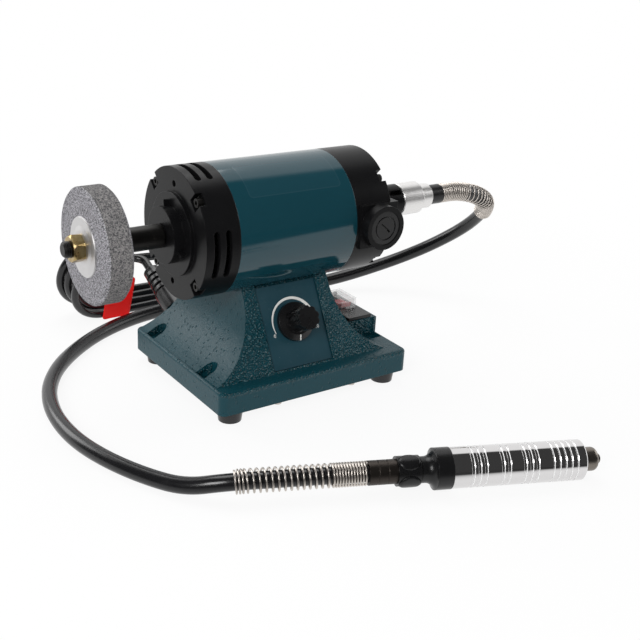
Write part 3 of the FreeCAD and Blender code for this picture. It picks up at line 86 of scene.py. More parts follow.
# Axes of the parts that the trim and the finishes follow, points on them, and radii.
AXLE = np.array([0, -7, 106.5]) * MM
MOTOR_R = 44 * MM
WHEEL_R = 37.5 * MM
PANEL_LEAN = math.radians(29)
PANEL_UP = np.array([0, math.sin(PANEL_LEAN), math.cos(PANEL_LEAN)])
PANEL_OUT = np.array([0, -math.cos(PANEL_LEAN), math.sin(PANEL_LEAN)])
PANEL_FOOT = np.array([-5.3, -60, 16]) * MM
KNOB_UP_SLOPE = 32 * MM
KNOB_FOOT = PANEL_FOOT + PANEL_UP * KNOB_UP_SLOPE
PANEL_FACE = -0.8 * MM
HAND_TURN = math.radians(-22.8)
HAND_START = np.array([-108.5, -147.9, 3.7]) * MM
HAND_ALONG = np.array([math.cos(HAND_TURN), math.sin(HAND_TURN), 0])
HAND_SIDE = np.array([-math.sin(HAND_TURN), math.cos(HAND_TURN), 0])
BACK_LEAN = math.radians(22)
GLAND = np.array([-46, 49.56, 26]) * MM
GLAND_OUT = np.array([0, math.cos(BACK_LEAN), math.sin(BACK_LEAN)])
HANK_LEAN = math.radians(20)
HANK_UP = np.array([0, -math.sin(HANK_LEAN), math.cos(HANK_LEAN)])
HANK_DEEP = np.array([0, math.cos(HANK_LEAN), math.sin(HANK_LEAN)])
HANK_MIDDLE = np.array([-22, 137.5, 23.3]) * MM
PLUG_START = np.array([75, 152, -2.15]) * MM
# The plain film on the motor tube: its middle and half sizes along the tube and round it.
LABEL_MIDDLE_X = -5.2 * MM
LABEL_HALF_X = 35.8 * MM
LABEL_MIDDLE_ARC = 13 * MM
LABEL_HALF_ARC = 25.5 * MM


def length(name, description, default):
    """A size in metres that a user may change."""
    return bpy.props.FloatProperty(name=name, description=description, default=default, min=0, unit="LENGTH",
                                   precision=5)


def tint(name, description, default):
    """A colour in linear light that a user may change."""
    return bpy.props.FloatVectorProperty(name=name, description=description, default=(*default, 1), size=4,
                                         subtype="COLOR", min=0, max=1)


class GrinderSizes(bpy.types.PropertyGroup):
    """Sizes of the cords and the small trim."""

    sheath_diameter: length("Sheath diameter", "Outside of the flexible shaft's rubber sheath", 10.4 * MM)
    sheath_length: length("Sheath length", "Flexible shaft from the coupling to the handpiece", 905 * MM)
    lead_diameter: length("Lead diameter", "Outside of the mains lead", 6.4 * MM)
    lead_length: length("Lead length", "Mains lead from the base to its plug", 1672 * MM)
    scale_radius: length("Scale radius", "Middle of the printed speed arc about the knob", 16.7 * MM)
    scale_width: length("Scale width", "Widest part of the printed speed arc", 2.4 * MM)
    figure_height: length("Figure height", "Height of the figures on the speed scale", 3.4 * MM)
    thread_pitch: length("Thread pitch", "Pitch of the thread on the arbor's tip", 1.25 * MM)
    tag_thickness: length("Tag thickness", "Card of the hang tag", 0.5 * MM)


class GrinderColours(bpy.types.PropertyGroup):
    """Colours of the finishes."""

    hammered: tint("Hammered paint", "Enamel on the base casting", (0.0040, 0.048, 0.064))
    # Painted highlight: the pale colour of the crests and pebbles on the front enamel.
    hammered_highlight: tint("Painted crest highlights", "Painted highlight on the crests of the front enamel", (0.13, 0.22, 0.24))
    gloss: tint("Gloss paint", "Enamel on the motor tube", (0.0060, 0.044, 0.060))
    label: tint("Bare label", "Plain film on the motor tube", (0.0085, 0.048, 0.065))
    panel: tint("Panel", "Printed film of the control panel", (0.0060, 0.046, 0.066))
    ink: tint("Ink", "White marks on the panel and the knob", (0.80, 0.80, 0.77))
    cast_black: tint("Cast black", "Satin paint on the end caps", (0.0050, 0.0050, 0.0055))
    plastic_black: tint("Plastic black", "Moulded plastic", (0.0050, 0.0050, 0.0055))
    rubber: tint("Rubber", "Sheath, lead and feet", (0.0080, 0.0080, 0.0090))
    abrasive: tint("Abrasive", "Web of the grinding wheel", (0.45, 0.44, 0.47))
    abrasive_dark: tint("Abrasive pores", "Pores of the grinding wheel", (0.060, 0.060, 0.065))
    # Darker rim colour: partly brownish wear, partly painted shade.
    abrasive_rim_shaded: tint("Abrasive rim", "Rim of the grinding wheel: brownish wear and painted shade", (0.29, 0.28, 0.275))
    # Painted highlight along the wheel's arris.
    abrasive_arris_highlight: tint("Abrasive arris", "Painted highlight on the edge between the wheel's face and rim", (0.50, 0.50, 0.51))
    steel: tint("Steel", "Turned steel", (0.52, 0.51, 0.50))
    plated: tint("Plate", "Nickel plate", (0.66, 0.61, 0.56))
    aluminium: tint("Aluminium", "Turned aluminium", (0.71, 0.70, 0.70))
    bright: tint("Bright aluminium", "Satin nut of the flexible shaft", (0.80, 0.79, 0.78))
    zinc: tint("Yellow zinc", "Plate on the wheel nut", (0.36, 0.25, 0.10))
    nose: tint("Nose steel", "Dull steel of the collet and its nut", (0.24, 0.215, 0.19))
    bronze: tint("Bronzed metal", "Dark ferrule of the handpiece", (0.066, 0.057, 0.051))
    copper: tint("Copper", "Varnished windings", (0.42, 0.16, 0.06))
    red: tint("Red plastic", "Switch rocker", (0.72, 0.035, 0.040))
    card: tint("Red card", "Hang tag", (1.0, 0.010, 0.008))
    floor: tint("Floor", "Studio floor", (0.86, 0.86, 0.86))


class Signal:
    """One output of a material's nodes; arithmetic on it adds Math nodes to the same material."""

    def __init__(self, tree, socket=None):
        self.tree = tree
        self.socket = socket

    def node(self, kind, settings=(), sockets=(), output=0):
        """Add a node of any kind: its settings first, then its sockets' values or links; give one output."""
        made = self.tree.nodes.new(kind)
        for name, value in dict(settings).items():
            setattr(made, name, value)
        self.feed(made, sockets)
        return Signal(self.tree, made.outputs[output])

    def feed(self, made, sockets):
        """Set a node's sockets to values, or link them to other signals."""
        for name, value in dict(sockets).items():
            if isinstance(value, Signal):
                self.tree.links.new(value.socket, made.inputs[name])
            else:
                made.inputs[name].default_value = value

    def math(self, operation, *values):
        return self.node("ShaderNodeMath", {"operation": operation}, enumerate(values))

    def __add__(self, other):
        return self.math("ADD", self, other)

    __radd__ = __add__

    def __sub__(self, other):
        return self.math("SUBTRACT", self, other)

    def __rsub__(self, other):
        return self.math("SUBTRACT", other, self)

    def __mul__(self, other):
        return self.math("MULTIPLY", self, other)

    def __pow__(self, other):
        return self.math("POWER", self, other)

    def __abs__(self):
        return self.math("ABSOLUTE", self)

    def least(self, other):
        return self.math("MINIMUM", self, other)

    def most(self, other):
        return self.math("MAXIMUM", self, other)

    def step(self, low, high):
        """0 below one value, 1 above the other, and a smooth rise between."""
        return self.node("ShaderNodeMapRange", {"interpolation_type": "SMOOTHSTEP"},
                         {0: self, 1: low, 2: high})

    def span(self, other):
        """The distance that this length and another at right angles to it come to."""
        return (self ** 2 + other ** 2) ** 0.5

    def mix(self, first, second):
        """The first colour where this is 0, and the second where it is 1."""
        return self.node("ShaderNodeMix", {"data_type": "RGBA"}, {0: self, 6: first, 7: second}, 2)

    def place(self):
        """Object coordinates."""
        return self.node("ShaderNodeTexCoord", output="Object")

    def along(self, direction):
        """How far this position is along a direction."""
        return self.node("ShaderNodeVectorMath", {"operation": "DOT_PRODUCT"},
                         {0: self, 1: direction}, "Value")

    def across(self, point, *directions):
        """How far this position is from a point, along each of some directions across an axis."""
        return [self.along(tuple(float(c) for c in way)) - float(point @ np.array(way)) for way in directions]

    def stretched(self, turn, scale):
        """This position turned and scaled, for a pattern that runs one way."""
        return self.node("ShaderNodeMapping", (), {"Vector": self, "Rotation": turn, "Scale": scale})

    def noise(self, size, detail=2.0, rough=0.5, bend=0.0):
        """Cloudy noise with features of a size in metres, about 0.5 in the mean."""
        return self.node("ShaderNodeTexNoise", (), {
            "Vector": self, "Scale": 1 / size, "Detail": detail, "Roughness": rough, "Distortion": bend})

    def cells(self, size, feature="F1"):
        """Distance to the nearest of scattered points a size apart."""
        return self.node("ShaderNodeTexVoronoi", {"feature": feature}, {"Vector": self, "Scale": 1 / size})

    def rounded(self, radius):
        """The surface normal, turned over sharp edges as over a small radius."""
        return self.node("ShaderNodeBevel", {"samples": 4}, {"Radius": radius})

    def raised(self, strength, depth, normal=None):
        """A normal bent by this height, whose full range is a depth in metres."""
        sockets = {"Height": self, "Strength": strength, "Distance": depth}
        if normal is not None:
            sockets["Normal"] = normal
        return self.node("ShaderNodeBump", (), sockets)


def surface(root, values):
    """Set or link the sockets of a material's shader."""
    root.feed(root.tree.nodes["Principled BSDF"], values)


def hammered_paint(root, tints):
    """Hammered enamel: fine grain and sparse pits, with crests and pebbles on the front above the plate.

    The crests are where bent noise crosses its mean; a painted highlight shows pale on the highest of them.
    """
    place = root.place()
    facing = root.node("ShaderNodeTexCoord", output="Normal").along(TO_FRONT).step(0.45, 0.75)
    plate = 1 - place.along(ALONG_Z).step(12 * MM, 16 * MM)
    front = facing * (1 - plate)
    worms = 1 - abs(place.noise(3.0 * MM, bend=0.8) - 0.5) * 6
    crest = worms.step(0.0, 1.0)
    pebbles = 1 - place.cells(2.0 * MM).step(0.1, 0.7)
    pits = place.stretched((0, 0, 0.5), (1, 1, 0.6)).cells(3.4 * MM).step(0.08, 0.24)
    grain = place.noise(1.3 * MM, detail=3.0, rough=0.6)
    height = (crest * 0.5 + pebbles * 1.1) * front + grain * (0.26 - plate * 0.14) + pits * 0.5
    # Painted highlight: pale colour on the highest crests and pebbles, on the front faces only.
    pale = (crest * 0.5 + pebbles).step(0.75, 1.35) * front * 0.45
    surface(root, {
        "Base Color": pale.mix(tints.hammered, tints.hammered_highlight),
        "Roughness": 0.30 - front * 0.14 + grain * 0.08,
        "Normal": height.raised(1.0, 1.0 * MM, root.rounded(1.1 * MM)),
        "Specular IOR Level": 0.25,
    })


def motor_paint(root, tints):
    """Gloss enamel with a faint orange peel, and a plain film with a thin pale rim over the front of its top.

    The film is a rounded rectangle in the length along the tube and the arc round it.
    """
    place = root.place()
    rim_colour = (0.20, 0.27, 0.30, 1)
    dust_colour = (0.05, 0.11, 0.13, 1)
    corner = 3 * MM
    soft = 0.12 * MM
    peel = place.noise(2.4 * MM)
    haze = place.noise(45 * MM)
    dust = 1 - place.cells(2.6 * MM).step(0.05, 0.12)
    arc = root.math("ARCTAN2", *place.across(AXLE, TO_FRONT, ALONG_Z)) * MOTOR_R
    beside = abs(place.along(ALONG_X) - LABEL_MIDDLE_X) - (LABEL_HALF_X - corner)
    beyond = abs(arc - LABEL_MIDDLE_ARC) - (LABEL_HALF_ARC - corner)
    outside = beside.most(0).span(beyond.most(0)) + beside.most(beyond).least(0) - corner
    film = 1 - outside.step(-soft, soft)
    rim = 1 - abs(outside + 0.3 * MM).step(0.1 * MM, 0.5 * MM)
    paint = (rim * 0.04).mix(film.mix(tints.gloss, tints.label), rim_colour)
    surface(root, {
        "Base Color": (dust * 0.15).mix(paint, dust_colour),
        "Roughness": 0.06 + haze * 0.05 + film * 0.04 + dust * 0.12,
        "Normal": (peel * 0.5 + film * 0.6).raised(0.10, 0.12 * MM, root.rounded(0.5 * MM)),
        "Specular IOR Level": 0.5,
    })


def cast_black(root, tints):
    """Satin paint on a casting: fine sand grain, a soft drift of gloss and specks of dust."""
    place = root.place()
    dusty = (0.035, 0.035, 0.037, 1)
    grain = place.noise(0.9 * MM, detail=3.0)
    drift = place.noise(22 * MM, detail=3.0)
    dust = place.cells(4 * MM).step(0.03, 0.09)
    surface(root, {
        "Base Color": ((1 - dust) * 0.3 + drift * 0.06).mix(tints.cast_black, dusty),
        "Roughness": 0.22 + drift * 0.10 + grain * 0.05,
        "Normal": grain.raised(0.16, 0.12 * MM, root.rounded(0.7 * MM)),
        "Specular IOR Level": 0.12,
    })


def black_plastic(root, tints):
    """Moulded plastic with a spark-eroded grain."""
    place = root.place()
    dusty = (0.020, 0.020, 0.021, 1)
    grain = place.cells(0.55 * MM, "SMOOTH_F1")
    drift = place.noise(12 * MM, detail=3.0)
    surface(root, {
        "Base Color": (drift * 0.2).mix(tints.plastic_black, dusty),
        "Roughness": 0.22 + drift * 0.12,
        "Normal": grain.raised(0.09, 0.08 * MM, root.rounded(0.45 * MM)),
        "Specular IOR Level": 0.35,
    })


def panel_film(root, tints):
    """Printed film: an even teal with small scuffs and specks."""
    place = root.place()
    pale = (0.30, 0.36, 0.38, 1)
    specks = place.cells(5 * MM).step(0.035, 0.075)
    scuff = place.stretched((0.5, 0.2, 0.6), (1, 0.25, 1)).noise(1.6 * MM, detail=3.0).step(0.62, 0.80)
    haze = place.noise(18 * MM)
    surface(root, {
        "Base Color": ((1 - specks) * 0.22 + scuff * 0.05 + haze * 0.05).mix(tints.panel, pale),
        "Roughness": 0.36 + haze * 0.12 + scuff * 0.10,
        "Normal": place.noise(0.5 * MM).raised(0.06, 0.05 * MM, root.rounded(0.3 * MM)),
        "Specular IOR Level": 0.22,
    })


def black_rubber(root, tints):
    """Extruded or moulded rubber: fine grain, a bloom of dust and slow changes of gloss."""
    place = root.place()
    dusty = (0.030, 0.030, 0.032, 1)
    grain = place.noise(0.5 * MM, detail=3.0, rough=0.6)
    bloom = place.noise(16 * MM, detail=4.0, rough=0.6).step(0.45, 0.85)
    surface(root, {
        "Base Color": (bloom * 0.25).mix(tints.rubber, dusty),
        "Roughness": 0.19 + bloom * 0.10 + grain * 0.05,
        "Normal": grain.raised(0.12, 0.08 * MM, root.rounded(0.8 * MM)),
        "Specular IOR Level": 0.5,
    })


def turned_metal(axis, colour, gloss, ring=0.35 * MM, dark=0.5, bump=0.10, edge=0.35 * MM):
    """A maker of metal turned on a lathe: rings across an axis, that vary in width and gloss."""
    def finish(root, tints):
        place = root.place()
        across = place.along(tuple(float(c) for c in axis))
        line = root.node("ShaderNodeCombineXYZ", (), {0: across})
        rings = line.noise(ring, detail=4.0, rough=0.7)
        stain = place.noise(9 * MM, detail=3.0)
        plain = getattr(tints, colour)
        worn = tuple(dark * c for c in plain[:3]) + (1,)
        surface(root, {
            "Base Color": (rings * 0.35 + stain * 0.25).mix(plain, worn),
            "Metallic": 1.0,
            "Roughness": gloss + rings * 0.12 + stain * 0.08,
            "Normal": rings.raised(bump, 0.05 * MM, root.rounded(edge)),
        })
    return finish


def ringed_aluminium(root, tints):
    """Polished aluminium; the grip grooves' sloping walls, told by their radius, are painted highlights:
    bright rings.
    """
    place = root.place()
    bright = (0.90, 0.90, 0.90, 1)
    inner, outer, soft = 12.10 * MM, 12.36 * MM, 0.08 * MM
    side, above = place.across(HAND_START, HAND_SIDE, UP)
    radius = side.span(above)
    # Painted highlight: the groove walls turn a pale, nearly non-metal white.
    wall = radius.step(inner, inner + soft) * (1 - radius.step(outer, outer + soft))
    smear = place.noise(14 * MM, detail=3.0)
    surface(root, {
        "Base Color": wall.mix(tints.aluminium, bright),
        "Metallic": 1 - wall * 0.9,
        "Roughness": 0.05 + smear * 0.05 + wall * 0.4,
        "Normal": root.rounded(0.12 * MM),
    })


def black_steel(root, tints):
    """Oil-blackened steel: nearly black, with brown rubbed patches."""
    place = root.place()
    oiled = (0.020, 0.019, 0.018, 1)
    rubbed = (0.075, 0.066, 0.058, 1)
    rub = place.noise(3.5 * MM, detail=4.0, rough=0.65).step(0.55, 0.80)
    grain = place.noise(0.4 * MM)
    surface(root, {
        "Base Color": (rub * 0.5).mix(oiled, rubbed),
        "Metallic": 0.75,
        "Roughness": 0.34 + grain * 0.14,
        "Normal": grain.raised(0.10, 0.05 * MM, root.rounded(0.3 * MM)),
    })


def yellow_zinc(root, tints):
    """Chromated zinc: gold that drifts paler and to rose in clouds."""
    place = root.place()
    lighter = (0.50, 0.40, 0.20, 1)
    rosy = (0.40, 0.25, 0.17, 1)
    cloud = place.noise(4.5 * MM, detail=3.0, rough=0.6)
    rose = place.noise(7 * MM).step(0.5, 0.75)
    gold = cloud.step(0.35, 0.7).mix(tints.zinc, lighter)
    surface(root, {
        "Base Color": (rose * 0.4).mix(gold, rosy),
        "Metallic": 1.0,
        "Roughness": 0.22 + cloud * 0.16,
        "Normal": place.noise(0.6 * MM).raised(0.06, 0.05 * MM, root.rounded(0.4 * MM)),
    })


def abrasive_web(root, tints):
    """Non-woven abrasive: clumps of pale fibre, dark pores, a rim of brown wear and painted shade, a painted
    arris highlight.
    """
    place = root.place()
    clump = place.noise(1.0 * MM, detail=3.0, rough=0.65, bend=0.8).step(0.36, 0.62)
    pores = place.cells(1.1 * MM).step(0.08, 0.36)
    worn = place.noise(14 * MM, detail=3.0)
    across, above = place.across(AXLE, TO_FRONT, ALONG_Z)
    radius = across.span(above)
    # The rim's darker colour is partly brownish wear and partly painted shade; the arris carries a painted
    # highlight.
    rim = radius.step(WHEEL_R - 0.12 * MM, WHEEL_R - 0.06 * MM)
    arris = radius.step(WHEEL_R - 1.0 * MM, WHEEL_R - 0.6 * MM) * (1 - rim)
    fibre = (arris * 0.35).mix(rim.mix(tints.abrasive, tints.abrasive_rim_shaded), tints.abrasive_arris_highlight)
    shown = clump * pores * (0.80 + worn * 0.3)
    surface(root, {
        "Base Color": shown.least(1).mix(tints.abrasive_dark, fibre),
        "Roughness": 0.75 + pores * 0.15,
        "Normal": (clump + pores * 0.6).raised(0.5, 0.4 * MM, root.rounded(0.8 * MM)),
        "Specular IOR Level": 0.2,
    })


def wound_copper(root, tints):
    """Varnished wire laid in turns round the shaft's axis."""
    place = root.place()
    burnt = (0.16, 0.05, 0.02, 1)
    wire_step = 0.9 * MM
    turns = root.math("SINE", place.along(ALONG_X) * (2 * math.pi / wire_step))
    varnish = place.noise(3 * MM, detail=3.0)
    surface(root, {
        "Base Color": (varnish * 0.5 + turns * 0.15 + 0.1).mix(tints.copper, burnt),
        "Metallic": 0.8,
        "Roughness": 0.30 + varnish * 0.2,
        "Normal": turns.raised(0.5, 0.2 * MM),
        "Coat Weight": 0.4,
    })


def pressed_carbon(root, tints):
    """Pressed carbon: grey-black with a fine sparkle."""
    place = root.place()
    dull = (0.012, 0.012, 0.013, 1)
    spark = (0.06, 0.06, 0.062, 1)
    grain = place.cells(0.25 * MM)
    surface(root, {
        "Base Color": (grain * 0.8).mix(dull, spark),
        "Roughness": 0.55 + grain * 0.2,
        "Normal": grain.raised(0.2, 0.05 * MM),
    })


def grey_moulding(root, tints):
    """Grey moulded plastic of the speed control's body."""
    place = root.place()
    dark = (0.03, 0.03, 0.035, 1)
    light = (0.055, 0.055, 0.06, 1)
    drift = place.noise(5 * MM, detail=3.0)
    surface(root, {
        "Base Color": drift.mix(dark, light),
        "Roughness": 0.4 + drift * 0.2,
        "Normal": place.noise(0.4 * MM).raised(0.1, 0.05 * MM),
    })


def red_plastic(root, tints):
    """Glossy red plastic with faint flow marks."""
    place = root.place()
    deep = (0.40, 0.012, 0.018, 1)
    flow = place.noise(6 * MM, detail=3.0, rough=0.6, bend=1.0)
    surface(root, {
        "Base Color": (flow * 0.6).mix(tints.red, deep),
        "Roughness": 0.22 + flow * 0.14,
        "Normal": place.noise(0.5 * MM).raised(0.05, 0.04 * MM, root.rounded(0.4 * MM)),
        "Coat Weight": 0.3,
    })


def clear_plastic(root, tints):
    """Clear moulded plastic: thin walls, hazy with fine scratches, that let most light by."""
    place = root.place()
    clear = (0.97, 0.98, 0.98, 1)
    hazy = (0.88, 0.90, 0.91, 1)
    scratch = place.stretched((0.3, 0.2, 0.9), (1, 0.12, 1)).noise(0.8 * MM, detail=3.0).step(0.55, 0.75)
    haze = place.noise(5 * MM, detail=3.0)
    surface(root, {
        "Base Color": (haze * 0.5).mix(clear, hazy),
        "Roughness": 0.06 + scratch * 0.16 + haze * 0.05,
        "Alpha": 0.16 + scratch * 0.06 + haze * 0.10,
        "Normal": haze.raised(0.05, 0.1 * MM, root.rounded(0.35 * MM)),
        "Specular IOR Level": 0.7,
    })


def red_card(root, tints):
    """Coated card: even red with a faint paper tooth and rubbed fibres."""
    place = root.place()
    rubbed = (0.80, 0.10, 0.09, 1)
    tooth = place.noise(0.6 * MM, detail=3.0)
    rub = place.noise(9 * MM, detail=4.0, rough=0.6).step(0.6, 0.9)
    surface(root, {
        "Base Color": (rub * 0.10 + tooth * 0.03).mix(tints.card, rubbed),
        "Roughness": 0.36 + tooth * 0.12,
        "Normal": tooth.raised(0.08, 0.05 * MM),
        "Specular IOR Level": 0.15,
    })


def white_ink(root, tints):
    """Screen-printed ink: nearly white, thin in places."""
    place = root.place()
    thinned = (0.42, 0.46, 0.47, 1)
    thin = place.noise(0.9 * MM, detail=3.0).step(0.55, 0.85)
    surface(root, {
        "Base Color": (thin * 0.35).mix(tints.ink, thinned),
        "Roughness": 0.5 + thin * 0.15,
    })


FINISHES = {
    "hammered_paint": hammered_paint,
    "motor_paint": motor_paint,
    "black_cast": cast_black,
    "black_plastic": black_plastic,
    "panel": panel_film,
    "rubber": black_rubber,
    "steel": turned_metal(ALONG_X, "steel", gloss=0.26),
    "plated": turned_metal(ALONG_X, "plated", gloss=0.14, ring=2.5 * MM, dark=0.6, bump=0.03),
    "black_screws": black_steel,
    "yellow_zinc": yellow_zinc,
    "bronzed": turned_metal(HAND_ALONG, "bronze", gloss=0.34, ring=0.6 * MM),
    "abrasive": abrasive_web,
    "copper": wound_copper,
    "carbon": pressed_carbon,
    "control_body": grey_moulding,
    "red_plastic": red_plastic,
    "clear_plastic": clear_plastic,
    "red_card": red_card,
    "hand_aluminium": ringed_aluminium,
    "satin_aluminium": turned_metal(ALONG_X, "bright", gloss=0.26, ring=0.5 * MM, dark=0.96, bump=0.0),
    "spring_wire": turned_metal(ALONG_X, "plated", gloss=0.26, ring=2.5 * MM, dark=0.85, bump=0.0,
                                edge=0.06 * MM),
    "hand_steel": turned_metal(HAND_ALONG, "steel", gloss=0.24),
    "nose_steel": turned_metal(HAND_ALONG, "nose", gloss=0.24),
    "pressed_steel": turned_metal(ALONG_X, "aluminium", gloss=0.36, ring=1.2 * MM, dark=0.8, bump=0.04),
    "white_ink": white_ink,
}
# Nodes whose finish is another than that of their slot.
OWN_FINISH = {
    "coupling_spring": "spring_wire",
    "hand_spring": "spring_wire",
    "coupling_nut": "satin_aluminium",
    "hand_sleeve": "hand_aluminium",
    "hand_spindle": "hand_steel",
    "hand_bearings": "hand_steel",
    "collet": "nose_steel",
    "collet_nut": "nose_steel",
    "outer_flange": "pressed_steel",
    "inner_flange": "pressed_steel",
}


def finish_of(name):
    """The material of a finish, made the first time that it is asked for."""
    material = bpy.data.materials.get("grinder_" + name)
    if material is None:
        material = bpy.data.materials.new("grinder_" + name)
        material.use_nodes = True
        FINISHES[name](Signal(material.node_tree), bpy.context.scene.grinder_colours)
    return material


def put(name, data):
    """Put data into the scene as an object."""
    made = bpy.data.objects.new(name, data)
    bpy.context.scene.collection.objects.link(made)
    return made


def grid_faces(rows, columns, round_rows, round_columns):
    """Quads over a grid of points; a round direction joins its last line to its first."""
    first = np.arange(rows if round_rows else rows - 1)[:, None]
    second = np.arange(columns if round_columns else columns - 1)[None, :]
    below = (first + 1) % rows
    beside = (second + 1) % columns
    corners = [first * columns + second, first * columns + beside,
               below * columns + beside, below * columns + second]
    return np.stack(np.broadcast_arrays(*corners), axis=-1).reshape(-1, 4)


def grid_piece(name, points, slot, body, finish=None, round_rows=False, round_columns=False, lids=False,
               wall=0):
    """A piece over points[row, column]: closed by lids on its end rows, or given a wall behind it."""
    rows, columns = points.shape[:2]
    faces = grid_faces(rows, columns, round_rows, round_columns).tolist()
    if lids:
        faces.append(list(range(columns))[::-1])
        faces.append(list(range((rows - 1) * columns, rows * columns)))
    mesh = bpy.data.meshes.new(name)
    mesh.from_pydata(points.reshape(-1, 3).tolist(), [], faces)
    mesh.update()
    return mesh_piece(name, mesh, slot, body, finish, wall)


def mesh_piece(name, mesh, slot, body, finish=None, wall=0):
    """Put a mesh into the scene as a piece that rides on a body, smooth but for its sharp edges."""
    piece = put(name, mesh)
    mesh.polygons.foreach_set("use_smooth", np.ones(len(mesh.polygons), bool))
    mesh.set_sharp_from_angle(angle=SHARP)
    mesh.materials.append(finish_of(finish or slot))
    if wall:
        shell = piece.modifiers.new("wall", "SOLIDIFY")
        shell.thickness = wall
        shell.offset = -1
    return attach(piece, body)


def cord_curve(name, points, diameter, slot):
    """A round cord along one smooth spline with the route's points as its control points."""
    curve = bpy.data.curves.new(name, "CURVE")
    curve.dimensions = "3D"
    curve.bevel_depth = diameter / 2
    curve.bevel_resolution = 5
    curve.resolution_u = 8
    curve.use_fill_caps = True
    spline = curve.splines.new("NURBS")
    spline.points.add(len(points) - 1)
    for control, point in zip(spline.points, points):
        control.co = (*[float(c) for c in point], 1)
    spline.order_u = 3
    spline.use_endpoint_u = True
    curve.materials.append(finish_of(slot))
    piece = put(name, curve)
    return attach(piece, "stand")


def smooth(share):
    """A share from 0 to 1, eased at both ends."""
    return share * share * (3 - 2 * share)


def squared(wave, power):
    """A sine or a cosine with its rounds squared off."""
    return np.sign(wave) * np.abs(wave) ** power


def on_hand(along, out, angle):
    """Points by the handpiece's axis: along it, out from it, and round it from the top to the front."""
    return (HAND_START + along[..., None] * HAND_ALONG + (out * np.cos(angle))[..., None] * UP
            - (out * np.sin(angle))[..., None] * HAND_SIDE)


def on_panel(right, up, out):
    """Points by the knob's foot: to its right, up the slope, and out from the panel's face."""
    return (KNOB_FOOT + right[..., None] * RIGHT + up[..., None] * PANEL_UP
            + (PANEL_FACE + out)[..., None] * PANEL_OUT)


def by_axle(x, out, angle):
    """Points by the motor's axle: at an x, out from it, and round it from +Y upwards."""
    return np.stack([x, AXLE[1] + out * np.cos(angle), AXLE[2] + out * np.sin(angle)], axis=-1)


def hank_point(turn):
    """A point of the folded mains lead: each turn is a fold, a run, a fold and a run, a quarter turn each.

    The fold's radius shrinks and grows by a steady step per turn, and turns back at each reversal, where the
    lead also climbs a layer over half a turn.
    """
    fold, step, layer_height, half_run = 28 * MM, 7 * MM, 7.2 * MM, 44 * MM
    sign, before, layer = -1, 0, -1.5
    for reversal in (0.875, 1.875, 2.875):
        if turn > reversal:
            fold += sign * step * (reversal - before)
            before = reversal
            sign = -sign
        climb = min(max((turn - reversal) * 2 + 0.5, 0), 1)
        layer += smooth(climb)
    fold += sign * step * (turn - before)
    stretch, share = divmod(4 * (turn % 1), 1)
    angle = math.pi * share
    along, up = [
        (-half_run - fold * math.sin(angle), fold * math.cos(angle)),
        (-half_run + 2 * half_run * share, -fold),
        (half_run + fold * math.sin(angle), -fold * math.cos(angle)),
        (half_run - 2 * half_run * share, fold),
    ][int(stretch)]
    return HANK_MIDDLE + np.array([along, 0, 0]) + HANK_UP * up + HANK_DEEP * (layer * layer_height)


def bend_points(start, leaving, end, arriving):
    """Two control points, the same reach from each end, that join two points along given directions."""
    chord = end - start
    along = chord @ (leaving + arriving)
    spread = 2 * (1 - leaving @ arriving)
    reach = chord @ chord / (along + math.sqrt(along ** 2 + spread * (chord @ chord)))
    return [start + leaving * reach, end - arriving * reach]


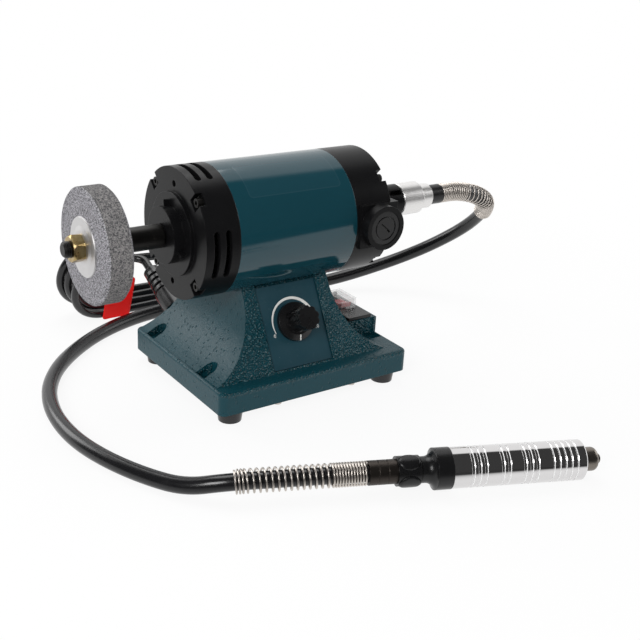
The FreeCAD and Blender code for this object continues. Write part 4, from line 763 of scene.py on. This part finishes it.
class GRINDER_OT_stage(bpy.types.Operator):
    """Make the camera, the studio floor, the soft lamps and the white surroundings"""

    bl_idname = "grinder.stage"
    bl_label = "Stage"

    def execute(self, context):
        self.camera(context.scene)
        self.floor(context.scene)
        self.lamps()
        self.surroundings(context.scene)
        context.scene.view_settings.view_transform = "Standard"
        return {"FINISHED"}

    def camera(self, scene):
        """A camera that looks at the target from an azimuth and an elevation, rolled a little."""
        azimuth, elevation, roll = (math.radians(a) for a in (-35.9, 22.72, 3.23))
        target = Vector((12.41, -49.87, 43.74)) * MM
        distance = 730.17 * MM
        back = Vector((math.sin(azimuth) * math.cos(elevation), -math.cos(azimuth) * math.cos(elevation),
                       math.sin(elevation)))
        level = Vector((math.cos(azimuth), math.sin(azimuth), 0))
        above = back.cross(level)
        right = level * math.cos(roll) + above * math.sin(roll)
        up = above * math.cos(roll) - level * math.sin(roll)
        data = bpy.data.cameras.new("photo_camera")
        data.sensor_width = 36
        data.lens = 59.53
        data.clip_start = 0.01
        camera = put("photo_camera", data)
        axes = Matrix((right, up, back)).transposed().to_4x4()
        camera.matrix_world = Matrix.Translation(target + back * distance) @ axes
        scene.camera = camera

    def floor(self, scene):
        """A flat floor, white to the camera but for a share that keeps the shadow.

        In mirrors it is white near the object, and dark farther out on the camera's side.
        """
        reach = 6.0
        side = np.array([-reach, reach])
        points = np.stack([*np.meshgrid(side, side, indexing="ij"), np.full((2, 2), FLOOR)], axis=-1)
        mesh = bpy.data.meshes.new("studio_floor")
        mesh.from_pydata(points.reshape(-1, 3).tolist(), [], [(0, 2, 3, 1)])
        material = bpy.data.materials.new("studio_floor")
        material.use_nodes = True
        root = Signal(material.node_tree)
        place = root.place()
        far = place.along(ALONG_X).span(place.along(ALONG_Y)).step(0.22, 0.6)
        before = place.along(TO_CAMERA).step(0.17, 0.24)
        camera, mirror = self.rays(root)
        glow = root.node("ShaderNodeEmission", (), {"Color": WHITE, "Strength": 1.0})
        matt = root.node("ShaderNodeBsdfDiffuse", (), {"Color": scene.grinder_colours.floor})
        dark = root.node("ShaderNodeBsdfDiffuse", (), {"Color": (0.04, 0.04, 0.04, 1)})
        share = camera * (0.90 + far * 0.10) + mirror * 0.9
        lit = root.node("ShaderNodeMixShader", (), {0: share, 1: matt, 2: glow})
        shaded = root.node("ShaderNodeMixShader", (), {0: mirror * before, 1: lit, 2: dark})
        root.feed(root.tree.nodes["Material Output"], {"Surface": shaded})
        mesh.materials.append(material)
        plane = put("studio_floor", mesh)

    def rays(self, root):
        """1 on rays from the camera, and 1 on those that mirror or pass through something."""
        outputs = root.node("ShaderNodeLightPath").socket.node.outputs
        camera, glossy, through = [Signal(root.tree, outputs[name])
                                   for name in ("Is Camera Ray", "Is Glossy Ray", "Is Transmission Ray")]
        return camera, glossy.most(through)

    def lamps(self):
        """Soft boxes: place, target, size in metres and power in watts."""
        boxes = {
            "key_box": ((-1.05, -0.70, 0.72), (0, 0, 0.05), 0.5, 9.0),
            "fill_box": ((1.25, -0.45, 0.55), (0, -0.03, 0.05), 0.8, 4.5),
            "top_box": ((0.10, 0.45, 1.15), (0, 0, 0.06), 0.8, 5.5),
            "back_box": ((-0.85, 1.40, 0.95), (-0.05, 0, 0.03), 0.9, 9.0),
        }
        for name, (place, target, size, power) in boxes.items():
            data = bpy.data.lights.new(name, "AREA")
            data.size = size
            data.energy = power
            lamp = put(name, data)
            lamp.location = place
            lamp.rotation_euler = (Vector(target) - Vector(place)).to_track_quat("-Z", "Y").to_euler()

    def surroundings(self, scene):
        """A white surround, dark on the camera's side in mirrors, with even light from all round."""
        world = bpy.data.worlds.new("studio")
        world.use_nodes = True
        scene.world = world
        root = Signal(world.node_tree)
        camera, mirror = self.rays(root)
        heading = root.node("ShaderNodeTexCoord", output="Generated")
        behind = heading.along((0.39, 0.92, 0)).step(0.26, 0.40)
        dim, ambient = 0.05, 0.45
        reflected = dim + behind * (1 - dim)
        strength = camera + (1 - camera) * (mirror * reflected + (1 - mirror) * ambient)
        root.feed(root.tree.nodes["Background"], {"Color": WHITE, "Strength": strength})


class GRINDER_OT_sheath(bpy.types.Operator):
    """Lay the flexible shaft's rubber sheath from the coupling, round the back, to the handpiece"""

    bl_idname = "grinder.sheath"
    bl_label = "Flexible sheath"

    def execute(self, context):
        sizes = context.scene.grinder_sizes
        droop = [(114, -7, 106.5), (150, -7, 106.5), (167, -7, 106.5), (187.4, -7.1, 101.4),
                 (208.5, 1.1, 90.5), (221.7, 17.2, 75.2), (222.9, 38.2, 55.5), (209.4, 61.4, 35.2),
                 (191.9, 79.3, 20.8), (168.7, 92.6, 10.1), (140.4, 102.4, 2), (107.7, 110.6, -2.4)]
        lying = [(70.6, 117.9), (30, 122), (-14, 120.5), (-53, 114), (-87, 99), (-116, 78), (-140, 53),
                 (-157, 23), (-165.5, -11), (-166, -45), (-159, -77), (-147, -106)]
        clearance, rise = 0.05 * MM, 1.2 * MM
        rest = FLOOR + sizes.sheath_diameter / 2 + clearance
        points = [np.array(point) * MM for point in droop]
        points += [np.array([x * MM, y * MM, rest]) for x, y in lying]
        points.append(np.array([-134 * MM, -129 * MM, rest + rise]))
        points += [HAND_START + HAND_ALONG * along * MM for along in (-8, 16, 102.5)]
        sheath = cord_curve("sheath_skin", points, sizes.sheath_diameter, "rubber")
        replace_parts(sheath, "flex_sheath")
        return {"FINISHED"}


class GRINDER_OT_lead(bpy.types.Operator):
    """Lay the mains lead from the back of the base, folded into a hank, to its plug"""

    bl_idname = "grinder.lead"
    bl_label = "Mains lead"

    def execute(self, context):
        sizes = context.scene.grinder_sizes
        points = [GLAND + GLAND_OUT * out * MM for out in (-11, 20, 47)]
        first, last, samples = 1 / 16, 4.5, 214
        nudge = 0.001
        heading = hank_point(first + nudge) - hank_point(first - nudge)
        points += bend_points(points[-1], GLAND_OUT, hank_point(first), heading / np.linalg.norm(heading))
        points += [hank_point(turn) for turn in np.linspace(first, last, samples)]
        points += bend_points(points[-1], RIGHT, PLUG_START, RIGHT) + [PLUG_START]
        lead = cord_curve("lead_skin", points, sizes.lead_diameter, "rubber")
        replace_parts(lead, "mains_lead")
        return {"FINISHED"}


class GRINDER_OT_finishes(bpy.types.Operator):
    """Give every solid the finish of its slot, or one of its own"""

    bl_idname = "grinder.finishes"
    bl_label = "Finishes"

    def execute(self, context):
        for part in frame["record"]["subparts"]:
            node = frame["nodes"][part["node"]]
            finish = finish_of(OWN_FINISH.get(part["node"], part["material_slot"]))
            if not node.material_slots:
                node.data.materials.append(finish)
            for held in node.material_slots:
                held.material = finish
        return {"FINISHED"}


class GRINDER_OT_marks(bpy.types.Operator):
    """Print the speed arc and its figures on the panel, and the line on the knob"""

    bl_idname = "grinder.marks"
    bl_label = "Panel marks"

    def execute(self, context):
        sizes = context.scene.grinder_sizes
        self.arc(sizes)
        self.figures(sizes)
        self.knob_line()
        return {"FINISHED"}

    def arc(self, sizes):
        """A ribbon on an arc about the knob, whose width grows from almost a point at the slow end."""
        share = np.linspace(0, 1, 97)[:, None]
        across = np.linspace(-0.5, 0.5, 5)[None, :]
        sweep, narrowest = 200, 0.12
        lift, film = 0.10 * MM, 0.09 * MM
        angle = np.radians(sweep - sweep * share)
        width = sizes.scale_width * (narrowest + (1 - narrowest) * np.sqrt(share))
        radius = sizes.scale_radius + across * width
        points = on_panel(radius * np.cos(angle), radius * np.sin(angle), np.full(radius.shape, lift))
        grid_piece("speed_arc", points, "panel", "stand", "white_ink", wall=film)

    def figures(self, sizes):
        """Plain figures at the two ends of the arc, set upright on the slope."""
        lift, half_thick = 0.05 * MM, 0.04 * MM
        for figure, right, up in (("0", -17, -7), ("10", 17.5, -6.5)):
            text = bpy.data.curves.new("figure", "FONT")
            text.body = figure
            text.size = sizes.figure_height
            text.align_x = "CENTER"
            text.align_y = "CENTER"
            text.extrude = half_thick
            holder = put("figure", text)
            shown = holder.evaluated_get(bpy.context.evaluated_depsgraph_get())
            mesh = bpy.data.meshes.new_from_object(shown)
            bpy.data.objects.remove(holder)
            flat = np.empty(len(mesh.vertices) * 3)
            mesh.vertices.foreach_get("co", flat)
            flat = flat.reshape(-1, 3)
            points = on_panel(right * MM + flat[:, 0], up * MM + flat[:, 1], flat[:, 2] + lift)
            mesh.vertices.foreach_set("co", points.ravel())
            mesh.materials.clear()
            mesh.update()
            mesh_piece("figure_" + figure, mesh, "panel", "stand", "white_ink")

    def knob_line(self):
        """A thin strip down the knob's skirt, along its profile from the cap to the rim and down the rim."""
        out = np.array([9.7, 11.0, 12.3, 13.4, 13.5, 13.5, 13.5])[:, None] * MM
        low = np.array([5.41, 4.81, 4.21, 3.70, 3.45, 2.4, 1.2])[:, None] * MM
        half_wide, film = 0.45 * MM, 0.12 * MM
        across = np.linspace(-half_wide, half_wide, 3)[None, :]
        points = on_panel(*np.broadcast_arrays(across, -out, low))
        grid_piece("knob_line", points[:, ::-1], "black_plastic", "speed_dial", "white_ink", wall=film)


class GRINDER_OT_thread(bpy.types.Operator):
    """Raise a thread on the arbor's tip"""

    bl_idname = "grinder.thread"
    bl_label = "Arbor thread"

    def execute(self, context):
        pitch = context.scene.grinder_sizes.thread_pitch
        self.ridge(pitch)
        return {"FINISHED"}

    def ridge(self, pitch):
        """A ridge of triangular section carried along a helix over the plain tip, fading at its ends."""
        start, foot_r = -153.0 * MM, 4.85 * MM
        turns, steps, fade_angle = 3, 48, 1.2
        angle = np.linspace(0, 2 * math.pi * turns, steps * turns + 1)[:, None]
        fade = np.clip(np.minimum(angle, angle[-1] - angle) / fade_angle, 0, 1)
        section_x = np.array([-0.42, 0.0, 0.42, 0.0])[None, :] * pitch
        section_out = np.array([0.0, 0.55, 0.0, -0.25])[None, :] * MM
        x = start + pitch * angle / (2 * math.pi) + section_x
        out = foot_r + section_out * fade
        points = by_axle(x, out, np.broadcast_to(angle, x.shape))
        grid_piece("arbor_thread", points, "black_screws", "rotor", round_columns=True, lids=True)


class GRINDER_OT_grips(bpy.types.Operator):
    """Raise the oval grips on the handpiece's neck"""

    bl_idname = "grinder.grips"
    bl_label = "Neck grips"

    def execute(self, context):
        for name, middle in (("neck_grip_upper", 22), ("neck_grip_lower", 118), ("neck_grip_back", 250)):
            self.oval(name, math.radians(middle))
        return {"FINISHED"}

    def oval(self, name, middle):
        """A lens on the neck: a disc of points squeezed along and round it, that swells in the middle."""
        station, half_long, half_angle = 99.5, 6.5, 0.62
        foot_r, height, shoulder, wall = 8.85, 0.55, 0.16, 0.6
        share = np.linspace(0, 1, 15)[:, None]
        turn = np.linspace(0, 2 * math.pi, 48, endpoint=False)[None, :]
        along = (station + half_long * share * np.cos(turn)) * MM
        angle = middle + half_angle * share * np.sin(turn)
        swell = smooth(np.clip((1 - share) / shoulder, 0, 1))
        out = (foot_r + height * swell) * MM + 0 * turn
        points = on_hand(along, out, angle)[::-1]
        grid_piece(name, points, "black_plastic", "stand", round_columns=True, wall=wall * MM)


class GRINDER_OT_tag(bpy.types.Operator):
    """Hang the plain red card on the folded lead"""

    bl_idname = "grinder.tag"
    bl_label = "Hang tag"

    def execute(self, context):
        card = self.card(context.scene.grinder_sizes.tag_thickness)
        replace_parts(card, "cord_tag")
        return {"FINISHED"}

    def card(self, thickness):
        """A rounded rectangle of card: each row's half width follows the corner's circle, and it curls."""
        width, height, corner = 23 * MM, 40 * MM, 3 * MM
        left, below, before = 35.5 * MM, 28.6 * MM, 15.1 * MM
        side_curl, middle_curl = 0.48 * MM, 0.3 * MM
        rows = (1 - np.cos(np.linspace(0, math.pi, 41))) / 2 * height
        ends = np.minimum(rows, height - rows)
        inset = corner - np.sqrt(np.maximum(corner ** 2 - np.maximum(corner - ends, 0) ** 2, 0))
        half = (width / 2 - inset)[:, None]
        across = np.linspace(-1, 1, 21)[None, :] * half
        up = rows[:, None] + 0 * across
        curl = side_curl * (across / (width / 2)) ** 2 + middle_curl * np.sin(up / height * math.pi)
        points = (HANK_MIDDLE + (across - left)[..., None] * RIGHT + (up - below)[..., None] * HANK_UP
                  - (before + curl)[..., None] * HANK_DEEP)
        return grid_piece("hang_tag", points, "red_card", "stand", wall=thickness)


class GRINDER_OT_band(bpy.types.Operator):
    """Tie the folded lead with a rubber band"""

    bl_idname = "grinder.band"
    bl_label = "Lead band"

    def execute(self, context):
        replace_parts(self.band(), "cord_tie")
        return {"FINISHED"}

    def band(self):
        """A strip with round edges, carried round a rounded rectangle that holds the hank's upper runs."""
        half_deep, half_up = 14.8 * MM, 7.6 * MM
        half_wide, half_thick = 3.9 * MM, 0.5 * MM
        middle_x, middle_up = 20 * MM, 25.5 * MM
        loop_power, strip_power = 2 / 7, 0.4
        turn = np.linspace(0, 2 * math.pi, 96, endpoint=False)[:, None]
        side = np.linspace(0, 2 * math.pi, 16, endpoint=False)[None, :]
        deep = half_deep * squared(np.cos(turn), loop_power)
        up = half_up * squared(np.sin(turn), loop_power)
        across = half_wide * squared(np.cos(side), strip_power) + 0 * turn
        grow = 1 + half_thick * np.sin(side) / half_up
        points = (HANK_MIDDLE + (middle_x + across)[..., None] * RIGHT + (deep * grow)[..., None] * HANK_DEEP
                  + (middle_up + up * grow)[..., None] * HANK_UP)
        return grid_piece("lead_band", points, "black_plastic", "stand", "rubber",
                          round_rows=True, round_columns=True)


class GRINDER_OT_plug(bpy.types.Operator):
    """Shape the plug on the mains lead's end"""

    bl_idname = "grinder.plug"
    bl_label = "Mains plug"

    def execute(self, context):
        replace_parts(self.shell(), "plug_body")
        return {"FINISHED"}

    def shell(self):
        """Rounded sections along X that widen from the lead to the pin face, with grip ribs on the waist."""
        along = np.concatenate([[0, 0.2, 0.8], np.linspace(2, 36, 60), [37.2, 37.8, 38]])[:, None]
        wide = np.interp(along, [0, 9, 27, 38], [5.0, 7.0, 17.5, 17.5])
        thick = np.interp(along, [0, 6, 38], [5.0, 6.8, 6.8])
        ends = np.interp(along, [0, 0.2, 0.8, 2, 36, 37.2, 37.8, 38],
                         [0.78, 0.88, 0.96, 1, 1, 0.985, 0.955, 0.90])
        rib_depth, rib_turn, rib_share, rib_start, rib_end = 0.05, 2.4, 0.2, 5, 17
        ribbed = (np.sin(along * rib_turn) > rib_share) * (along > rib_start) * (along < rib_end)
        size = ends * (1 - rib_depth * ribbed)
        turn = np.linspace(0, 2 * math.pi, 64, endpoint=False)[None, :]
        square = 0.55
        y = wide * size * squared(np.cos(turn), square)
        z = thick * size * squared(np.sin(turn), square)
        points = PLUG_START + np.stack(np.broadcast_arrays(along, y, z), axis=-1) * MM
        return grid_piece("plug_shell", points, "black_plastic", "stand", round_columns=True, lids=True)


class GRINDER_PT_sidebar(bpy.types.Panel):
    """Lists the grinder's pieces with the sizes and colours that they use"""

    bl_idname = "GRINDER_PT_sidebar"
    bl_label = "Bench grinder"
    bl_space_type = "VIEW_3D"
    bl_region_type = "UI"
    bl_category = "Grinder"

    def draw(self, context):
        for operator in OPERATORS:
            self.layout.operator(operator.bl_idname)
        for group in (context.scene.grinder_sizes, context.scene.grinder_colours):
            for name in group.__annotations__:
                self.layout.prop(group, name)


OPERATORS = (GRINDER_OT_stage, GRINDER_OT_sheath, GRINDER_OT_tag, GRINDER_OT_band, GRINDER_OT_plug,
             GRINDER_OT_lead, GRINDER_OT_finishes, GRINDER_OT_marks, GRINDER_OT_thread, GRINDER_OT_grips)
CLASSES = (GrinderSizes, GrinderColours, *OPERATORS, GRINDER_PT_sidebar)


def register():
    for each in CLASSES:
        bpy.utils.register_class(each)
    bpy.types.Scene.grinder_sizes = bpy.props.PointerProperty(type=GrinderSizes)
    bpy.types.Scene.grinder_colours = bpy.props.PointerProperty(type=GrinderColours)


def unregister():
    del bpy.types.Scene.grinder_colours
    del bpy.types.Scene.grinder_sizes
    for each in reversed(CLASSES):
        bpy.utils.unregister_class(each)


def main():
    register()
    bpy.ops.grinder.stage()
    bpy.ops.grinder.sheath()
    bpy.ops.grinder.tag()
    bpy.ops.grinder.band()
    bpy.ops.grinder.plug()
    bpy.ops.grinder.lead()
    bpy.ops.grinder.finishes()
    bpy.ops.grinder.marks()
    bpy.ops.grinder.thread()
    bpy.ops.grinder.grips()


if __name__ == "__main__":
    main()
